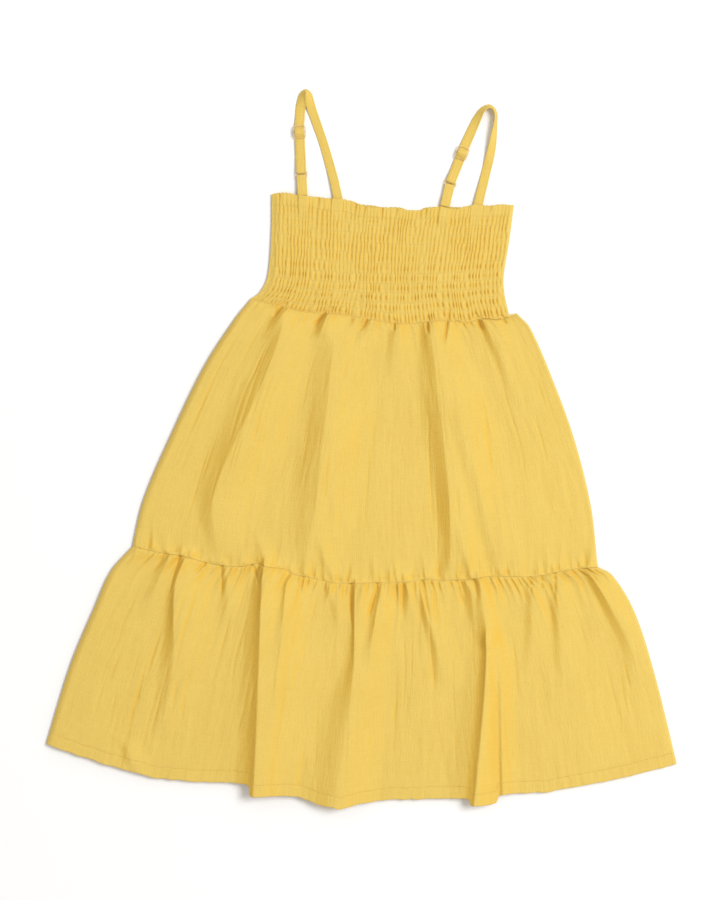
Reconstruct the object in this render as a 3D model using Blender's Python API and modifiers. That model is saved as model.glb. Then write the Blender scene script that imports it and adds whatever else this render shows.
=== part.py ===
"""A child's strappy sundress, laid flat on its back.

A shirred bodice with a ruffled header, a gathered skirt and a gathered hem tier, each cut as a
front and a back, with two ribbon straps that run through a slider and a ring. Sizes are in
millimetres and become metres as each mesh is made. X runs to the right as the front is looked at,
Y runs from the hem to the straps, and Z runs up from the surface that the dress lies on.
"""
import math
from collections import namedtuple

import bmesh
import bpy
from mathutils import Vector

MM = 0.001

# Cloth and the gap between pieces
GAP = 0.3
BACK_WALL = 1.5
FRONT_WALL = 1.5
FRONT_FLOOR = BACK_WALL + GAP

# Ribbon and hardware
RIBBON_WIDTH = 8.8
RIBBON_WALL = 1.0
BAR = 1.0
CORNER_RADIUS = 0.9
LOOP_RADIUS = 1.5
HARDWARE_SLOT = 9.5
HARDWARE_WIDTH = 11.6
RING_BAR_SPACING = 4.4
SLIDER_BAR_SPACING = 5.15
RING_HEIGHT = RIBBON_WALL / 2 + LOOP_RADIUS
SLIDER_HEIGHT = 3.25

# Shirring: upright gathers pinched by rows of elastic, under a loose header
FLUTES = 52
ELASTIC_ROWS = 11
HEADER_SHARE = 0.10
FLUTE_RISE = 1.1
PUFF_RISE = 0.6
SHIRRED_WALL = 1.1
STRAP_ROOM = RIBBON_WALL + GAP

# Gathers under the two seams of the front
WAIST_GATHERS = 20
TIER_GATHERS = 38
GATHER_RISE = 2.0
GATHER_REACH = 0.34

# How far in from its side seams the front has risen to its full height
SIDE_ROUNDING = 20.0
FOLD_FADE = 14.0

# Colours from the cloth and its trim
CLOTH_COLOUR = (236, 201, 103)
BACK_COLOUR = (222, 184, 88)
TRIM_COLOUR = (226, 178, 104)

# A line across the dress, from side seam to side seam, at its left, middle and right
Section = namedtuple("Section", "along left_x left_y middle_x middle_y right_x right_y")
# A soft fold: its crest's path, its rise at three places, and the reach of its two flanks
Fold = namedtuple("Fold", "top_x top_y mid_x mid_y low_x low_y rise_top rise_mid rise_low steep gentle")
# A place on an edge, from 0 at the left to 1 at the right, and how far the edge moves there
EdgeMove = namedtuple("EdgeMove", "across shift")
# A place on a ribbon: its lift off the surface, and the compass and tilt of its width
RibbonPoint = namedtuple("RibbonPoint", "x y lift azimuth tilt")
RibbonRow = namedtuple("RibbonRow", "step x y lift azimuth tilt")
# A puff at one place down a panel
Puff = namedtuple("Puff", "along rise")

BODICE = [
    Section(0.00, -78.0, 219.0, 26.0, 209.5, 131.0, 209.0),
    Section(0.34, -79.0, 187.0, 23.0, 177.0, 127.0, 179.0),
    Section(0.66, -82.0, 150.0, 21.0, 143.5, 122.0, 148.0),
    Section(0.85, -88.0, 135.0, 20.0, 125.0, 122.7, 132.0),
    Section(1.00, -96.0, 128.0, 20.0, 110.0, 127.0, 115.0),
]
SKIRT = [
    Section(0.00, -96.5, 127.6, 20.0, 109.3, 137.5, 115.8),
    Section(0.08, -109.5, 111.0, 19.5, 95.0, 145.0, 104.0),
    Section(0.30, -135.0, 71.5, 16.5, 53.0, 163.0, 63.0),
    Section(0.60, -165.0, 9.5, 14.0, -12.0, 183.0, 8.0),
    Section(0.85, -187.5, -44.0, 12.5, -76.0, 197.5, -51.0),
    Section(1.00, -197.0, -84.0, 12.0, -115.5, 203.0, -101.0),
]
TIER = [
    Section(0.00, -197.5, -84.4, 12.0, -115.9, 203.5, -101.4),
    Section(0.10, -215.0, -104.0, 11.5, -134.0, 216.0, -109.0),
    Section(0.30, -230.0, -137.0, 8.0, -170.0, 234.0, -138.5),
    Section(0.60, -250.0, -185.0, 4.5, -224.0, 251.0, -190.0),
    Section(1.00, -271.0, -253.0, 0.0, -299.6, 271.0, -270.0),
]
HEADER_EDGE = [
    EdgeMove(0.00, 0.0),
    EdgeMove(0.08, 2.5),
    EdgeMove(0.24, 2.5),
    EdgeMove(0.33, 1.5),
    EdgeMove(0.41, -1.0),
    EdgeMove(0.58, -0.5),
    EdgeMove(0.75, 0.5),
    EdgeMove(0.83, 3.0),
    EdgeMove(1.00, 0.5),
]
HEM_EDGE = [
    EdgeMove(0.000, 0.0),
    EdgeMove(0.100, -3.0),
    EdgeMove(0.174, -4.6),
    EdgeMove(0.260, 0.0),
    EdgeMove(0.317, 3.0),
    EdgeMove(0.330, -4.7),
    EdgeMove(0.400, -3.1),
    EdgeMove(0.431, -8.0),
    EdgeMove(0.466, -11.0),
    EdgeMove(0.502, -5.2),
    EdgeMove(0.545, -1.4),
    EdgeMove(0.645, -1.7),
    EdgeMove(0.674, -6.0),
    EdgeMove(0.702, -9.7),
    EdgeMove(0.717, -7.9),
    EdgeMove(0.731, -0.6),
    EdgeMove(0.790, -3.4),
    EdgeMove(0.874, -2.1),
    EdgeMove(1.000, 0.0),
]
BACK_HEADER_RISE = 1.5
BACK_HEM_LIFT = 3.0

SKIRT_PUFF = [Puff(0.0, 1.3), Puff(0.12, 4.2), Puff(0.45, 4.4), Puff(0.85, 3.0), Puff(1.0, 1.4)]
TIER_PUFF = [Puff(0.0, 1.4), Puff(0.15, 3.8), Puff(0.5, 4.2), Puff(1.0, 2.8)]

SKIRT_FOLDS = [
    Fold(-62, 127, -113, 19, -129, -88, 4.0, 7.0, 2.5, 15, 46),
    Fold(-25, 124, -36, 34, -44, -88, 4.5, 5.0, 3.0, 22, 40),
    Fold(2, 112, 0, 100, -2, 82, 2.5, 1.5, 0.3, 10, 20),
    Fold(27, 111, 25, 86, 22, 49, 2.2, 1.6, 0.3, 11, 24),
    Fold(58, 113, 64, 14, 70, -106, 4.0, 6.0, 3.5, 16, 40),
    Fold(75, 109, 74, 98, 71, 86, 2.5, 1.6, 0.3, 10, 18),
    Fold(101, 113, 110, 94, 125, 56, 3.8, 2.4, 0.4, 11, 30),
    Fold(82, 50, 92, -30, 112, -96, 0.6, 2.2, 1.2, 16, 34),
]
TIER_FOLDS = [
    Fold(-170, -92, -173, -108, -181, -134, 3.4, 2.4, 0.4, 11, 24),
    Fold(-153, -96, -164, -158, -176, -246, 4.6, 4.6, 1.2, 12, 36),
    Fold(-119, -106, -118, -124, -120, -146, 2.4, 1.6, 0.3, 10, 20),
    Fold(-90, -104, -86, -190, -90, -292, 5.5, 8.5, 8.5, 19, 56),
    Fold(-58, -117, -62, -140, -67, -166, 2.2, 1.4, 0.3, 10, 20),
    Fold(-30, -113, -24, -134, -18, -154, 2.2, 1.4, 0.3, 10, 18),
    Fold(-8, -120, -8, -190, -26, -308, 3.8, 6.5, 8.0, 20, 40),
    Fold(15, -122, 10, -152, 8, -184, 2.6, 2.0, 0.3, 10, 20),
    Fold(37, -120, 40, -134, 44, -150, 2.2, 1.4, 0.3, 10, 18),
    Fold(52, -120, 61, -152, 70, -192, 2.6, 2.0, 0.3, 11, 22),
    Fold(83, -117, 97, -138, 110, -168, 3.4, 3.6, 3.2, 13, 20),
    Fold(110, -168, 105, -230, 99, -302, 3.2, 6.8, 8.0, 14, 26),
    Fold(143, -120, 145, -140, 147, -166, 2.0, 1.3, 0.3, 10, 20),
    Fold(166, -116, 168, -164, 174, -218, 2.2, 1.8, 0.3, 12, 26),
    Fold(192, -105, 210, -128, 238, -180, 3.4, 2.8, 0.4, 12, 26),
]

# Straps, as seen: each runs from its slider round the ring, up to its apex and down to the bodice
LEFT_RING = (-51.6, 236.3)
LEFT_LEG_HEADING = 92.7
LEFT_SLIDER_DISTANCE = 36.2
LEFT_TAB_LENGTH = 17.0
LEFT_STRAP_TOP = [
    RibbonPoint(-53.0, 285.5, 0.2, 1, 0),
    RibbonPoint(-52.6, 292.0, 0.0, -3, 2),
    RibbonPoint(-52.1, 299.0, 0.0, -6, 26),
    RibbonPoint(-50.9, 304.4, 0.0, -20, 52),
    RibbonPoint(-47.8, 307.2, 0.0, -88, 66),
    RibbonPoint(-44.6, 304.4, 0.0, -156, 52),
    RibbonPoint(-42.9, 299.0, 0.0, -165, 28),
    RibbonPoint(-41.1, 293.6, 0.0, -165, 8),
    RibbonPoint(-37.9, 285.0, 0.0, -165, 0),
    RibbonPoint(-33.1, 264.3, 0.0, -165, 0),
    RibbonPoint(-27.1, 243.7, 0.2, -164, 0),
    RibbonPoint(-23.9, 232.0, 1.2, -165, 0),
    RibbonPoint(-21.8, 223.0, 1.8, -166, 0),
    RibbonPoint(-20.2, 215.0, 1.8, -168, 0),
    RibbonPoint(-18.6, 207.0, 1.8, -168, 0),
]
RIGHT_RING = (76.2, 228.2)
RIGHT_LEG_HEADING = 68.5
RIGHT_SLIDER_DISTANCE = 28.0
RIGHT_TAB_LENGTH = 19.5
RIGHT_STRAP_TOP = [
    RibbonPoint(92.6, 269.0, 0.3, -22, 0),
    RibbonPoint(96.4, 277.5, 0.0, -25, 10),
    RibbonPoint(100.2, 285.2, 0.0, -30, 32),
    RibbonPoint(104.2, 291.6, 0.0, -50, 52),
    RibbonPoint(109.4, 294.4, 0.0, -90, 60),
    RibbonPoint(113.8, 292.0, 0.0, -140, 68),
    RibbonPoint(115.6, 286.6, 0.0, -172, 70),
    RibbonPoint(115.2, 279.8, 0.0, -184, 60),
    RibbonPoint(114.2, 272.6, 0.0, -190, 34),
    RibbonPoint(112.2, 262.0, 0.0, -192, 10),
    RibbonPoint(110.0, 251.0, 0.0, -192, 0),
    RibbonPoint(107.6, 240.0, 0.1, -193, 0),
    RibbonPoint(104.6, 227.5, 1.2, -193, 0),
    RibbonPoint(102.4, 219.0, 1.8, -193, 0),
    RibbonPoint(100.2, 210.0, 1.8, -193, 0),
    RibbonPoint(98.4, 202.0, 1.8, -193, 0),
]


def clamp(value, low=0.0, high=1.0):
    return max(low, min(high, value))


def ease(share):
    """Smooth step from 0 to 1."""
    share = clamp(share)
    return share * share * (3.0 - 2.0 * share)


def blend_rows(rows, place):
    """Every column of a table at one place, on a smooth curve through the rows."""
    keys = [row[0] for row in rows]
    place = clamp(place, keys[0], keys[-1])
    after = next(i for i, key in enumerate(keys) if key >= place and i > 0)
    before = after - 1

    def tangent(i, column):
        low, high = max(i - 1, 0), min(i + 1, len(rows) - 1)
        return (rows[high][column] - rows[low][column]) / (keys[high] - keys[low])

    span = keys[after] - keys[before]
    t = (place - keys[before]) / span
    values = [place]
    for column in range(1, len(rows[0])):
        start, end = rows[before][column], rows[after][column]
        leave, arrive = tangent(before, column) * span, tangent(after, column) * span
        values.append(
            start * (2 * t**3 - 3 * t**2 + 1)
            + leave * (t**3 - 2 * t**2 + t)
            + end * (3 * t**2 - 2 * t**3)
            + arrive * (t**3 - t**2)
        )
    return type(rows[0])(*values)


def straight_rows(rows, place):
    """The second column of a table at one place, on straight lines between the rows."""
    for low, high in zip(rows, rows[1:]):
        if place <= high[0]:
            return low[1] + (high[1] - low[1]) * (place - low[0]) / (high[0] - low[0])
    return rows[-1][1]


def through_three(first, middle, last, t):
    """The curve through three values at 0, 1/2 and 1."""
    return (
        first * (1 - t) * (1 - 2 * t)
        + middle * 4 * t * (1 - t)
        + last * t * (2 * t - 1)
    )


def panel_place(sections, across, along):
    """The plan position on a panel, and its distance from the nearer side seam."""
    row = blend_rows(sections, along)
    x = through_three(row.left_x, row.middle_x, row.right_x, across)
    y = through_three(row.left_y, row.middle_y, row.right_y, across)
    from_side = min(across, 1 - across) * (row.right_x - row.left_x)
    return x, y, from_side


def fold_rise(fold, x, y):
    """How far one fold lifts the cloth: steep on the left of its crest, gentle on the right."""
    down = (fold.top_y - y) / (fold.top_y - fold.low_y)
    t = clamp(down)
    beyond = max(y - fold.top_y, fold.low_y - y, 0.0)
    fade = 1.0 - clamp(beyond / FOLD_FADE)
    crest = through_three(fold.top_x, fold.mid_x, fold.low_x, t)
    if t < 0.5:
        rise = fold.rise_top + (fold.rise_mid - fold.rise_top) * 2 * t
    else:
        rise = fold.rise_mid + (fold.rise_low - fold.rise_mid) * (2 * t - 1)
    reach = fold.steep if x < crest else fold.gentle
    return rise * fade * ease(1 - abs(x - crest) / reach)


def gather_rise(across, along, count):
    """Small waves of cloth that leave a gathered seam and die out below it."""
    wave = 0.5 - 0.5 * math.cos(2 * math.pi * count * across)
    strength = math.sin(math.pi * clamp(along / GATHER_REACH) ** 0.5)
    return GATHER_RISE * wave * (0.35 * (1 - clamp(along / GATHER_REACH)) + 0.65 * strength)


def front_height(x, y, from_side, across, along, puff, folds, gathers):
    """Height of the outer face of a gathered front panel."""
    rise = straight_rows(puff, along) + gather_rise(across, along, gathers)
    rise += sum(fold_rise(fold, x, y) for fold in folds)
    rounding = math.sin(0.5 * math.pi * clamp(from_side / SIDE_ROUNDING))
    return FRONT_FLOOR + FRONT_WALL + rise * rounding


def make_material(name, colour, roughness, metallic=0.0):
    material = bpy.data.materials.new(name)
    material.use_nodes = True
    shader = material.node_tree.nodes["Principled BSDF"]
    linear = [((c / 255 + 0.055) / 1.055) ** 2.4 for c in colour]
    shader.inputs["Base Color"].default_value = (*linear, 1.0)
    shader.inputs["Roughness"].default_value = roughness
    shader.inputs["Metallic"].default_value = metallic
    material.diffuse_color = (*linear, 1.0)
    return material


def add_object(name, bm, collection, colour, roughness=0.9, metallic=0.0):
    """Turn a bmesh in millimetres into a named object in metres with its own material."""
    bmesh.ops.scale(bm, vec=(MM, MM, MM), verts=bm.verts)
    bmesh.ops.recalc_face_normals(bm, faces=bm.faces)
    mesh = bpy.data.meshes.new(name)
    bm.to_mesh(mesh)
    bm.free()
    mesh.shade_smooth()
    mesh.set_sharp_from_angle(angle=math.radians(50))
    mesh.materials.append(make_material(name + "_finish", colour, roughness, metallic))
    obj = bpy.data.objects.new(name, mesh)
    collection.objects.link(obj)
    return obj


def add_wall(obj, thickness):
    """Give an open surface its cloth thickness, below the face that was modelled."""
    wall = obj.modifiers.new("cloth", "SOLIDIFY")
    wall.thickness = thickness * MM
    wall.offset = -1.0
    wall.use_even_offset = False


def open_sheet(columns, rows, place):
    """A grid whose points are moved to place(across, along), with its outer face up."""
    bm = bmesh.new()
    bmesh.ops.create_grid(bm, x_segments=columns, y_segments=rows, size=1.0)
    for vert in bm.verts:
        across, along = (vert.co.x + 1) / 2, (1 - vert.co.y) / 2
        vert.co = Vector(place(across, along))
    for face in bm.faces:
        face.normal_update()
        if face.normal.z < 0:
            face.normal_flip()
    return bm


def make_gathered_front(name, collection, sections, puff, folds, gathers, columns, rows, edge=None):
    def place(across, along):
        x, y, from_side = panel_place(sections, across, along)
        if edge:
            y += straight_rows(edge, across) * ease((along - 0.55) / 0.45)
        return x, y, front_height(x, y, from_side, across, along, puff, folds, gathers)

    bm = open_sheet(columns, rows, place)
    obj = add_object(name, bm, collection, CLOTH_COLOUR)
    add_wall(obj, FRONT_WALL)


def make_back(name, collection, sections, columns, rows, top_shift=0.0, hem_edge=None):
    """A back panel: flat on the surface, under its front."""

    def place(across, along):
        x, y, from_side = panel_place(sections, across, along)
        inland = ease(from_side / SIDE_ROUNDING)
        y += top_shift * inland * ease(1 - along / 0.2)
        if hem_edge:
            shift = max(straight_rows(hem_edge, across), -BACK_HEM_LIFT) + BACK_HEM_LIFT
            y += shift * inland * ease((along - 0.55) / 0.45)
        return x, y, BACK_WALL

    bm = open_sheet(columns, rows, place)
    obj = add_object(name, bm, collection, BACK_COLOUR)
    add_wall(obj, BACK_WALL)


def shirring_rise(across, along):
    """Relief of the shirred cloth: upright flutes, pinched along each row of elastic."""
    flute = 0.5 - 0.5 * math.cos(2 * math.pi * FLUTES * across)
    if along < HEADER_SHARE:
        return (FLUTE_RISE + 0.3) * flute * (1 - 0.45 * along / HEADER_SHARE)
    row = (along - HEADER_SHARE) / (1 - HEADER_SHARE) * ELASTIC_ROWS
    puff = 0.5 - 0.5 * math.cos(2 * math.pi * row)
    return FLUTE_RISE * flute * (0.35 + 0.65 * puff) + PUFF_RISE * puff


def make_bodice_front(collection):
    """The shirred front: relief on its outer points over a plain inside."""
    columns = 2 * FLUTES
    alongs = [0.0, HEADER_SHARE * 0.5]
    alongs += [
        HEADER_SHARE + (1 - HEADER_SHARE) * half / (2 * ELASTIC_ROWS)
        for half in range(2 * ELASTIC_ROWS + 1)
    ]
    inner_rows = [0, 2, 8, 14, 20, len(alongs) - 1]

    def plan(across, along):
        x, y, from_side = panel_place(BODICE, across, along)
        y += straight_rows(HEADER_EDGE, across) * ease(1 - along / 0.3)
        rounding = math.sin(0.5 * math.pi * clamp(from_side / (0.5 * SIDE_ROUNDING)))
        return x, y, rounding

    bm = bmesh.new()
    outer, inner = [], {}
    for r, along in enumerate(alongs):
        outer.append([])
        inner[r] = []
        for c in range(columns + 1):
            x, y, rounding = plan(c / columns, along)
            floor = FRONT_FLOOR + STRAP_ROOM * rounding
            rise = SHIRRED_WALL + shirring_rise(c / columns, along) * (0.3 + 0.7 * rounding)
            outer[-1].append(bm.verts.new((x, y, floor + rise)))
            if r in inner_rows:
                inner[r].append(bm.verts.new((x, y, floor)))
    for upper, lower in zip(outer, outer[1:]):
        for c in range(columns):
            bm.faces.new((upper[c], lower[c], lower[c + 1], upper[c + 1]))
    for r, lower_r in zip(inner_rows, inner_rows[1:]):
        upper, lower = inner[r], inner[lower_r]
        for c in range(columns):
            bm.faces.new((upper[c + 1], lower[c + 1], lower[c], upper[c]))
        bm.faces.new([upper[0], lower[0]] + [outer[k][0] for k in range(lower_r, r - 1, -1)])
        bm.faces.new([lower[-1], upper[-1]] + [outer[k][-1] for k in range(r, lower_r + 1)])
    top, bottom = inner_rows[0], inner_rows[-1]
    for c in range(columns):
        bm.faces.new((outer[top][c], outer[top][c + 1], inner[top][c + 1], inner[top][c]))
        bm.faces.new((outer[bottom][c + 1], outer[bottom][c], inner[bottom][c], inner[bottom][c + 1]))
    add_object("bodice_front", bm, collection, CLOTH_COLOUR)


def ribbon_place(point):
    """Where the ribbon's middle is at one point of its path, and which way its width runs."""
    azimuth, tilt = math.radians(point.azimuth), math.radians(point.tilt)
    flat = math.cos(tilt)
    width = Vector((math.cos(azimuth) * flat, math.sin(azimuth) * flat, math.sin(tilt)))
    height = RIBBON_WIDTH / 2 * abs(math.sin(tilt)) + RIBBON_WALL / 2 * math.cos(tilt) + point.lift
    return Vector((point.x, point.y, height)), width


def make_ribbon(name, collection, points):
    """A flat ribbon with thin edges, swept along its path."""
    table = [RibbonRow(i, *point) for i, point in enumerate(points)]
    samples = []
    for i in range(2 * (len(points) - 1) + 1):
        row = blend_rows(table, i / 2)
        samples.append(ribbon_place(RibbonPoint(*row[1:])))
    half, slope, wall = RIBBON_WIDTH / 2, 0.6, RIBBON_WALL / 2
    profile = [(-half, 0), (-half + slope, -wall), (half - slope, -wall)]
    profile += [(half, 0), (half - slope, wall), (-half + slope, wall)]
    bm = bmesh.new()
    rings = []
    for i, (centre, width) in enumerate(samples):
        before, after = samples[max(i - 1, 0)][0], samples[min(i + 1, len(samples) - 1)][0]
        forward = (after - before).normalized()
        side = (width - forward * width.dot(forward)).normalized()
        up = side.cross(forward)
        rings.append([bm.verts.new(centre + side * a + up * b) for a, b in profile])
    for ring, following in zip(rings, rings[1:]):
        for k in range(len(profile)):
            after = (k + 1) % len(profile)
            bm.faces.new((ring[k], ring[after], following[after], following[k]))
    bm.faces.new(rings[0])
    bm.faces.new(rings[-1])
    add_object(name, bm, collection, CLOTH_COLOUR)


def leg_point(ring, heading, distance, lift):
    """A ribbon point on a strap's straight leg, so far up it from the ring."""
    angle = math.radians(heading)
    x = ring[0] + distance * math.cos(angle)
    y = ring[1] + distance * math.sin(angle)
    return RibbonPoint(x, y, lift, heading - 90, 0)


def loop_round_bar(ring, heading, bar, side):
    """The half turn of a ribbon round one bar of the ring, from below it to above it."""
    turn = []
    for degrees in (-90, -45, 0, 45, 90):
        angle = math.radians(degrees)
        distance = bar - side * LOOP_RADIUS * math.cos(angle)
        lift = LOOP_RADIUS * (1 + math.sin(angle))
        turn.append(leg_point(ring, heading, distance, lift))
    return turn


def make_strap(name, collection, ring, heading, slider, top):
    """The whole strap: its end at the slider, the loop round the ring, the arch and the far leg."""
    under = SLIDER_HEIGHT - LOOP_RADIUS - RIBBON_WALL / 2
    over = SLIDER_HEIGHT + LOOP_RADIUS - RIBBON_WALL / 2
    upper_layer = RIBBON_WALL + GAP
    bar = RING_BAR_SPACING / 2
    points = [leg_point(ring, heading, slider + 0.6, 1.0)]
    points.append(leg_point(ring, heading, slider - SLIDER_BAR_SPACING, 0.0))
    points.append(leg_point(ring, heading, 0.5 * slider, 0.0))
    points.append(leg_point(ring, heading, bar + 3.0, 0.0))
    points += loop_round_bar(ring, heading, bar, 1)
    points.append(leg_point(ring, heading, bar + 4.0, LOOP_RADIUS + 1.0))
    points.append(leg_point(ring, heading, 0.45 * slider, upper_layer + 0.1))
    points.append(leg_point(ring, heading, slider - 1.8 * SLIDER_BAR_SPACING, upper_layer))
    points.append(leg_point(ring, heading, slider - SLIDER_BAR_SPACING, under))
    points.append(leg_point(ring, heading, slider, over))
    points.append(leg_point(ring, heading, slider + SLIDER_BAR_SPACING, under))
    make_ribbon(name, collection, points + top)


def make_tab(name, collection, ring, heading, length):
    """The short loop of ribbon that ties a ring to the bodice."""
    bar = -RING_BAR_SPACING / 2
    seated = FRONT_FLOOR
    above = RIBBON_WALL + GAP
    points = [leg_point(ring, heading, -length - 9.0, seated)]
    points.append(leg_point(ring, heading, -length - 1.0, seated))
    points.append(leg_point(ring, heading, -length + 4.0, 0.9 * seated))
    points.append(leg_point(ring, heading, bar - 5.0, 0.2))
    points += loop_round_bar(ring, heading, bar, -1)
    points.append(leg_point(ring, heading, bar - 5.0, LOOP_RADIUS + above - 0.2))
    points.append(leg_point(ring, heading, -length + 4.0, 0.9 * seated + above + 0.1))
    points.append(leg_point(ring, heading, -length + 1.6, seated + above + 0.1))
    make_ribbon(name, collection, points)


def slotted_plate(name, collection, cutters, centre, height, heading, length, slots):
    """A small flat frame of thin bars, with one or two slots for the ribbon."""
    bm = bmesh.new()
    bmesh.ops.create_cube(bm, size=1.0)
    bmesh.ops.scale(bm, vec=(HARDWARE_WIDTH, length, BAR), verts=bm.verts)
    obj = add_object(name, bm, collection, TRIM_COLOUR, roughness=0.35)
    round_upright_edges(obj)
    turn = math.radians(heading - 90)
    place = Vector((centre[0], centre[1], height)) * MM
    obj.rotation_euler = (0, 0, turn)
    obj.location = place
    slot_length = (length - BAR * (slots + 1)) / slots
    for k in range(slots):
        bm = bmesh.new()
        bmesh.ops.create_cube(bm, size=1.0)
        bmesh.ops.scale(bm, vec=(HARDWARE_SLOT, slot_length, 4 * BAR), verts=bm.verts)
        shift = -length / 2 + BAR + slot_length / 2 + k * (slot_length + BAR)
        bmesh.ops.translate(bm, vec=(0, shift, 0), verts=bm.verts)
        cutter = add_object(f"{name}_slot_{k}", bm, cutters, TRIM_COLOUR)
        cutter.rotation_euler = (0, 0, turn)
        cutter.location = place
        cutter.hide_render = True
        cutter.display_type = "WIRE"
        cut = obj.modifiers.new(f"slot {k}", "BOOLEAN")
        cut.operation = "DIFFERENCE"
        cut.object = cutter


def round_upright_edges(obj):
    """Round the plate's four upright edges and leave its faces flat."""
    rounding = obj.modifiers.new("round corners", "BEVEL")
    rounding.width = CORNER_RADIUS * MM
    rounding.segments = 2
    rounding.limit_method = "WEIGHT"
    weights = obj.data.attributes.new("bevel_weight_edge", "FLOAT", "EDGE")
    for edge, weight in zip(obj.data.edges, weights.data):
        first, second = (obj.data.vertices[i].co for i in edge.vertices)
        weight.value = 1.0 if abs(first.z - second.z) > 0.5 * BAR * MM else 0.0


def make_strap_set(side, collection, cutters, ring, heading, slider, tab_length, top):
    make_strap(f"strap_{side}", collection, ring, heading, slider, top)
    make_tab(f"strap_tab_{side}", collection, ring, heading, tab_length)
    at_slider = leg_point(ring, heading, slider, 0)
    ring_length = RING_BAR_SPACING + BAR
    slider_length = 2 * SLIDER_BAR_SPACING + BAR
    slotted_plate(f"strap_ring_{side}", collection, cutters, ring, RING_HEIGHT, heading, ring_length, 1)
    centre = (at_slider.x, at_slider.y)
    slotted_plate(
        f"strap_slider_{side}", collection, cutters, centre, SLIDER_HEIGHT, heading, slider_length, 2
    )


def build():
    for old in list(bpy.data.objects):
        bpy.data.objects.remove(old, do_unlink=True)
    collection = bpy.data.collections.new("strappy_sundress")
    cutters = bpy.data.collections.new("cutters")
    bpy.context.scene.collection.children.link(collection)
    bpy.context.scene.collection.children.link(cutters)

    make_bodice_front(collection)
    make_gathered_front(
        "skirt_front", collection, SKIRT, SKIRT_PUFF, SKIRT_FOLDS, WAIST_GATHERS, 2 * WAIST_GATHERS, 14
    )
    make_gathered_front(
        "tier_front", collection, TIER, TIER_PUFF, TIER_FOLDS, TIER_GATHERS, 2 * TIER_GATHERS, 10, HEM_EDGE
    )
    make_back("bodice_back", collection, BODICE, 24, 6, top_shift=BACK_HEADER_RISE)
    make_back("skirt_back", collection, SKIRT, 24, 8)
    make_back("tier_back", collection, TIER, 24, 6, hem_edge=HEM_EDGE)
    make_strap_set(
        "left", collection, cutters, LEFT_RING, LEFT_LEG_HEADING, LEFT_SLIDER_DISTANCE,
        LEFT_TAB_LENGTH, LEFT_STRAP_TOP,
    )
    make_strap_set(
        "right", collection, cutters, RIGHT_RING, RIGHT_LEG_HEADING, RIGHT_SLIDER_DISTANCE,
        RIGHT_TAB_LENGTH, RIGHT_STRAP_TOP,
    )


build()
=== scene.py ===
"""Looks for a child's strappy sundress in crinkled double gauze, laid flat and seen from above.

Each cloth piece is a thin sheet on the form of its solid, with its folds placed one by one and its
small gathers and crinkles drawn from seeded numbers. Sizes are in millimetres and become metres as
each mesh is made. X runs to the right, Y from the hem to the straps and Z up from the surface.
"""

import math
from collections import namedtuple

import bpy
import numpy as np
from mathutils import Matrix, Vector


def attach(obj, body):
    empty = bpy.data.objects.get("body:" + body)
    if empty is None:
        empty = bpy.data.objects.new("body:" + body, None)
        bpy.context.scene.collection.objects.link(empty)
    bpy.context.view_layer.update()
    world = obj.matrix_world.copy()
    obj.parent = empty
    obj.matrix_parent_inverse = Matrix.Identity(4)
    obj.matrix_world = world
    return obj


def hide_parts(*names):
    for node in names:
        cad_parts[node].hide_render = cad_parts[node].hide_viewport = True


MM = 0.001

# Heights of the layers, as in the solids
BACK_WALL = 1.5
GAP = 0.3
FRONT_FLOOR = BACK_WALL + GAP
FRONT_TOP = FRONT_FLOOR + 1.5
STRAP_ROOM = 1.3
SHIRRED_WALL = 1.1
# The least height of any panel, and the least that a front panel stands over its floor
LOWEST = 0.03
FRONT_LOWEST = FRONT_FLOOR + 0.05
# The back panels: their middle height, their relief, their edges' height, and how far in from the
# side the edge's height and the hem's moves begin
BACK_MIDDLE = 0.75
BACK_RELIEF = 0.6
BACK_EDGE = 1.35
BODICE_BACK_EDGE = 1.3
BACK_ROLL = 3.0
SIDE_ROUNDING = 20.0
# How far in from its left and right side edges each front panel rolls down to the back
SKIRT_ROLL = (5.0, 2.0)
BODICE_ROLL = (9.0, 2.2)

# Ribbon and hardware, as in the solids and as they look. The stitches lie at a share of the
# ribbon's half thickness, and the bars are a little flatter than round.
RIBBON_WIDTH = 8.8
RIBBON_SEEN = 8.3
RIBBON_WALL = 1.0
RIBBON_STEP = 0.7
STITCH_INSET = 1.27
GROOVE_HEIGHT = 0.72
FRAME_FLATNESS = 0.92
MIDDLE_BAR_FLATNESS = (0.95, 0.85)
BAR = 1.0
BAR_SEEN = 0.8
CORNER_RADIUS = 1.4
LOOP_RADIUS = 1.5
HARDWARE_WIDTH = 10.5
RING_BAR_SPACING = 4.4
SLIDER_BAR_SPACING = 5.15
RING_HEIGHT = RIBBON_WALL / 2 + LOOP_RADIUS
SLIDER_HEIGHT = 3.25

# Shirring: upright gathers, elastic rows, the header's share of the bodice, and its rows of points
FLUTES = 61
ELASTIC_ROWS = 11
HEADER_SHARE = 0.10
BODICE_ROWS = 145
BODICE_COLUMNS = 641

# The lengths down the tier and the skirt, and the bodice's width
TIER_DROP = 170.0
SKIRT_DROP = 215.0
BODICE_WIDTH = 210.0

# How much closer together a panel's rows lie at its two ends
EDGE_BIAS = 0.35
# How far in from a side edge the painted shade in folds and gathers comes back to full
PAINTED_SHADE_FADE = 12.0

# Flat sizes of the sheets, and the hem's depth
TIER_CUT = (590.0, 200.0)
SKIRT_CUT = (420.0, 235.0)
BODICE_CUT = (310.0, 105.0)
BODICE_BACK_CUT = (300.0, 104.0)
HEM_DEPTH = 10.0
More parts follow.
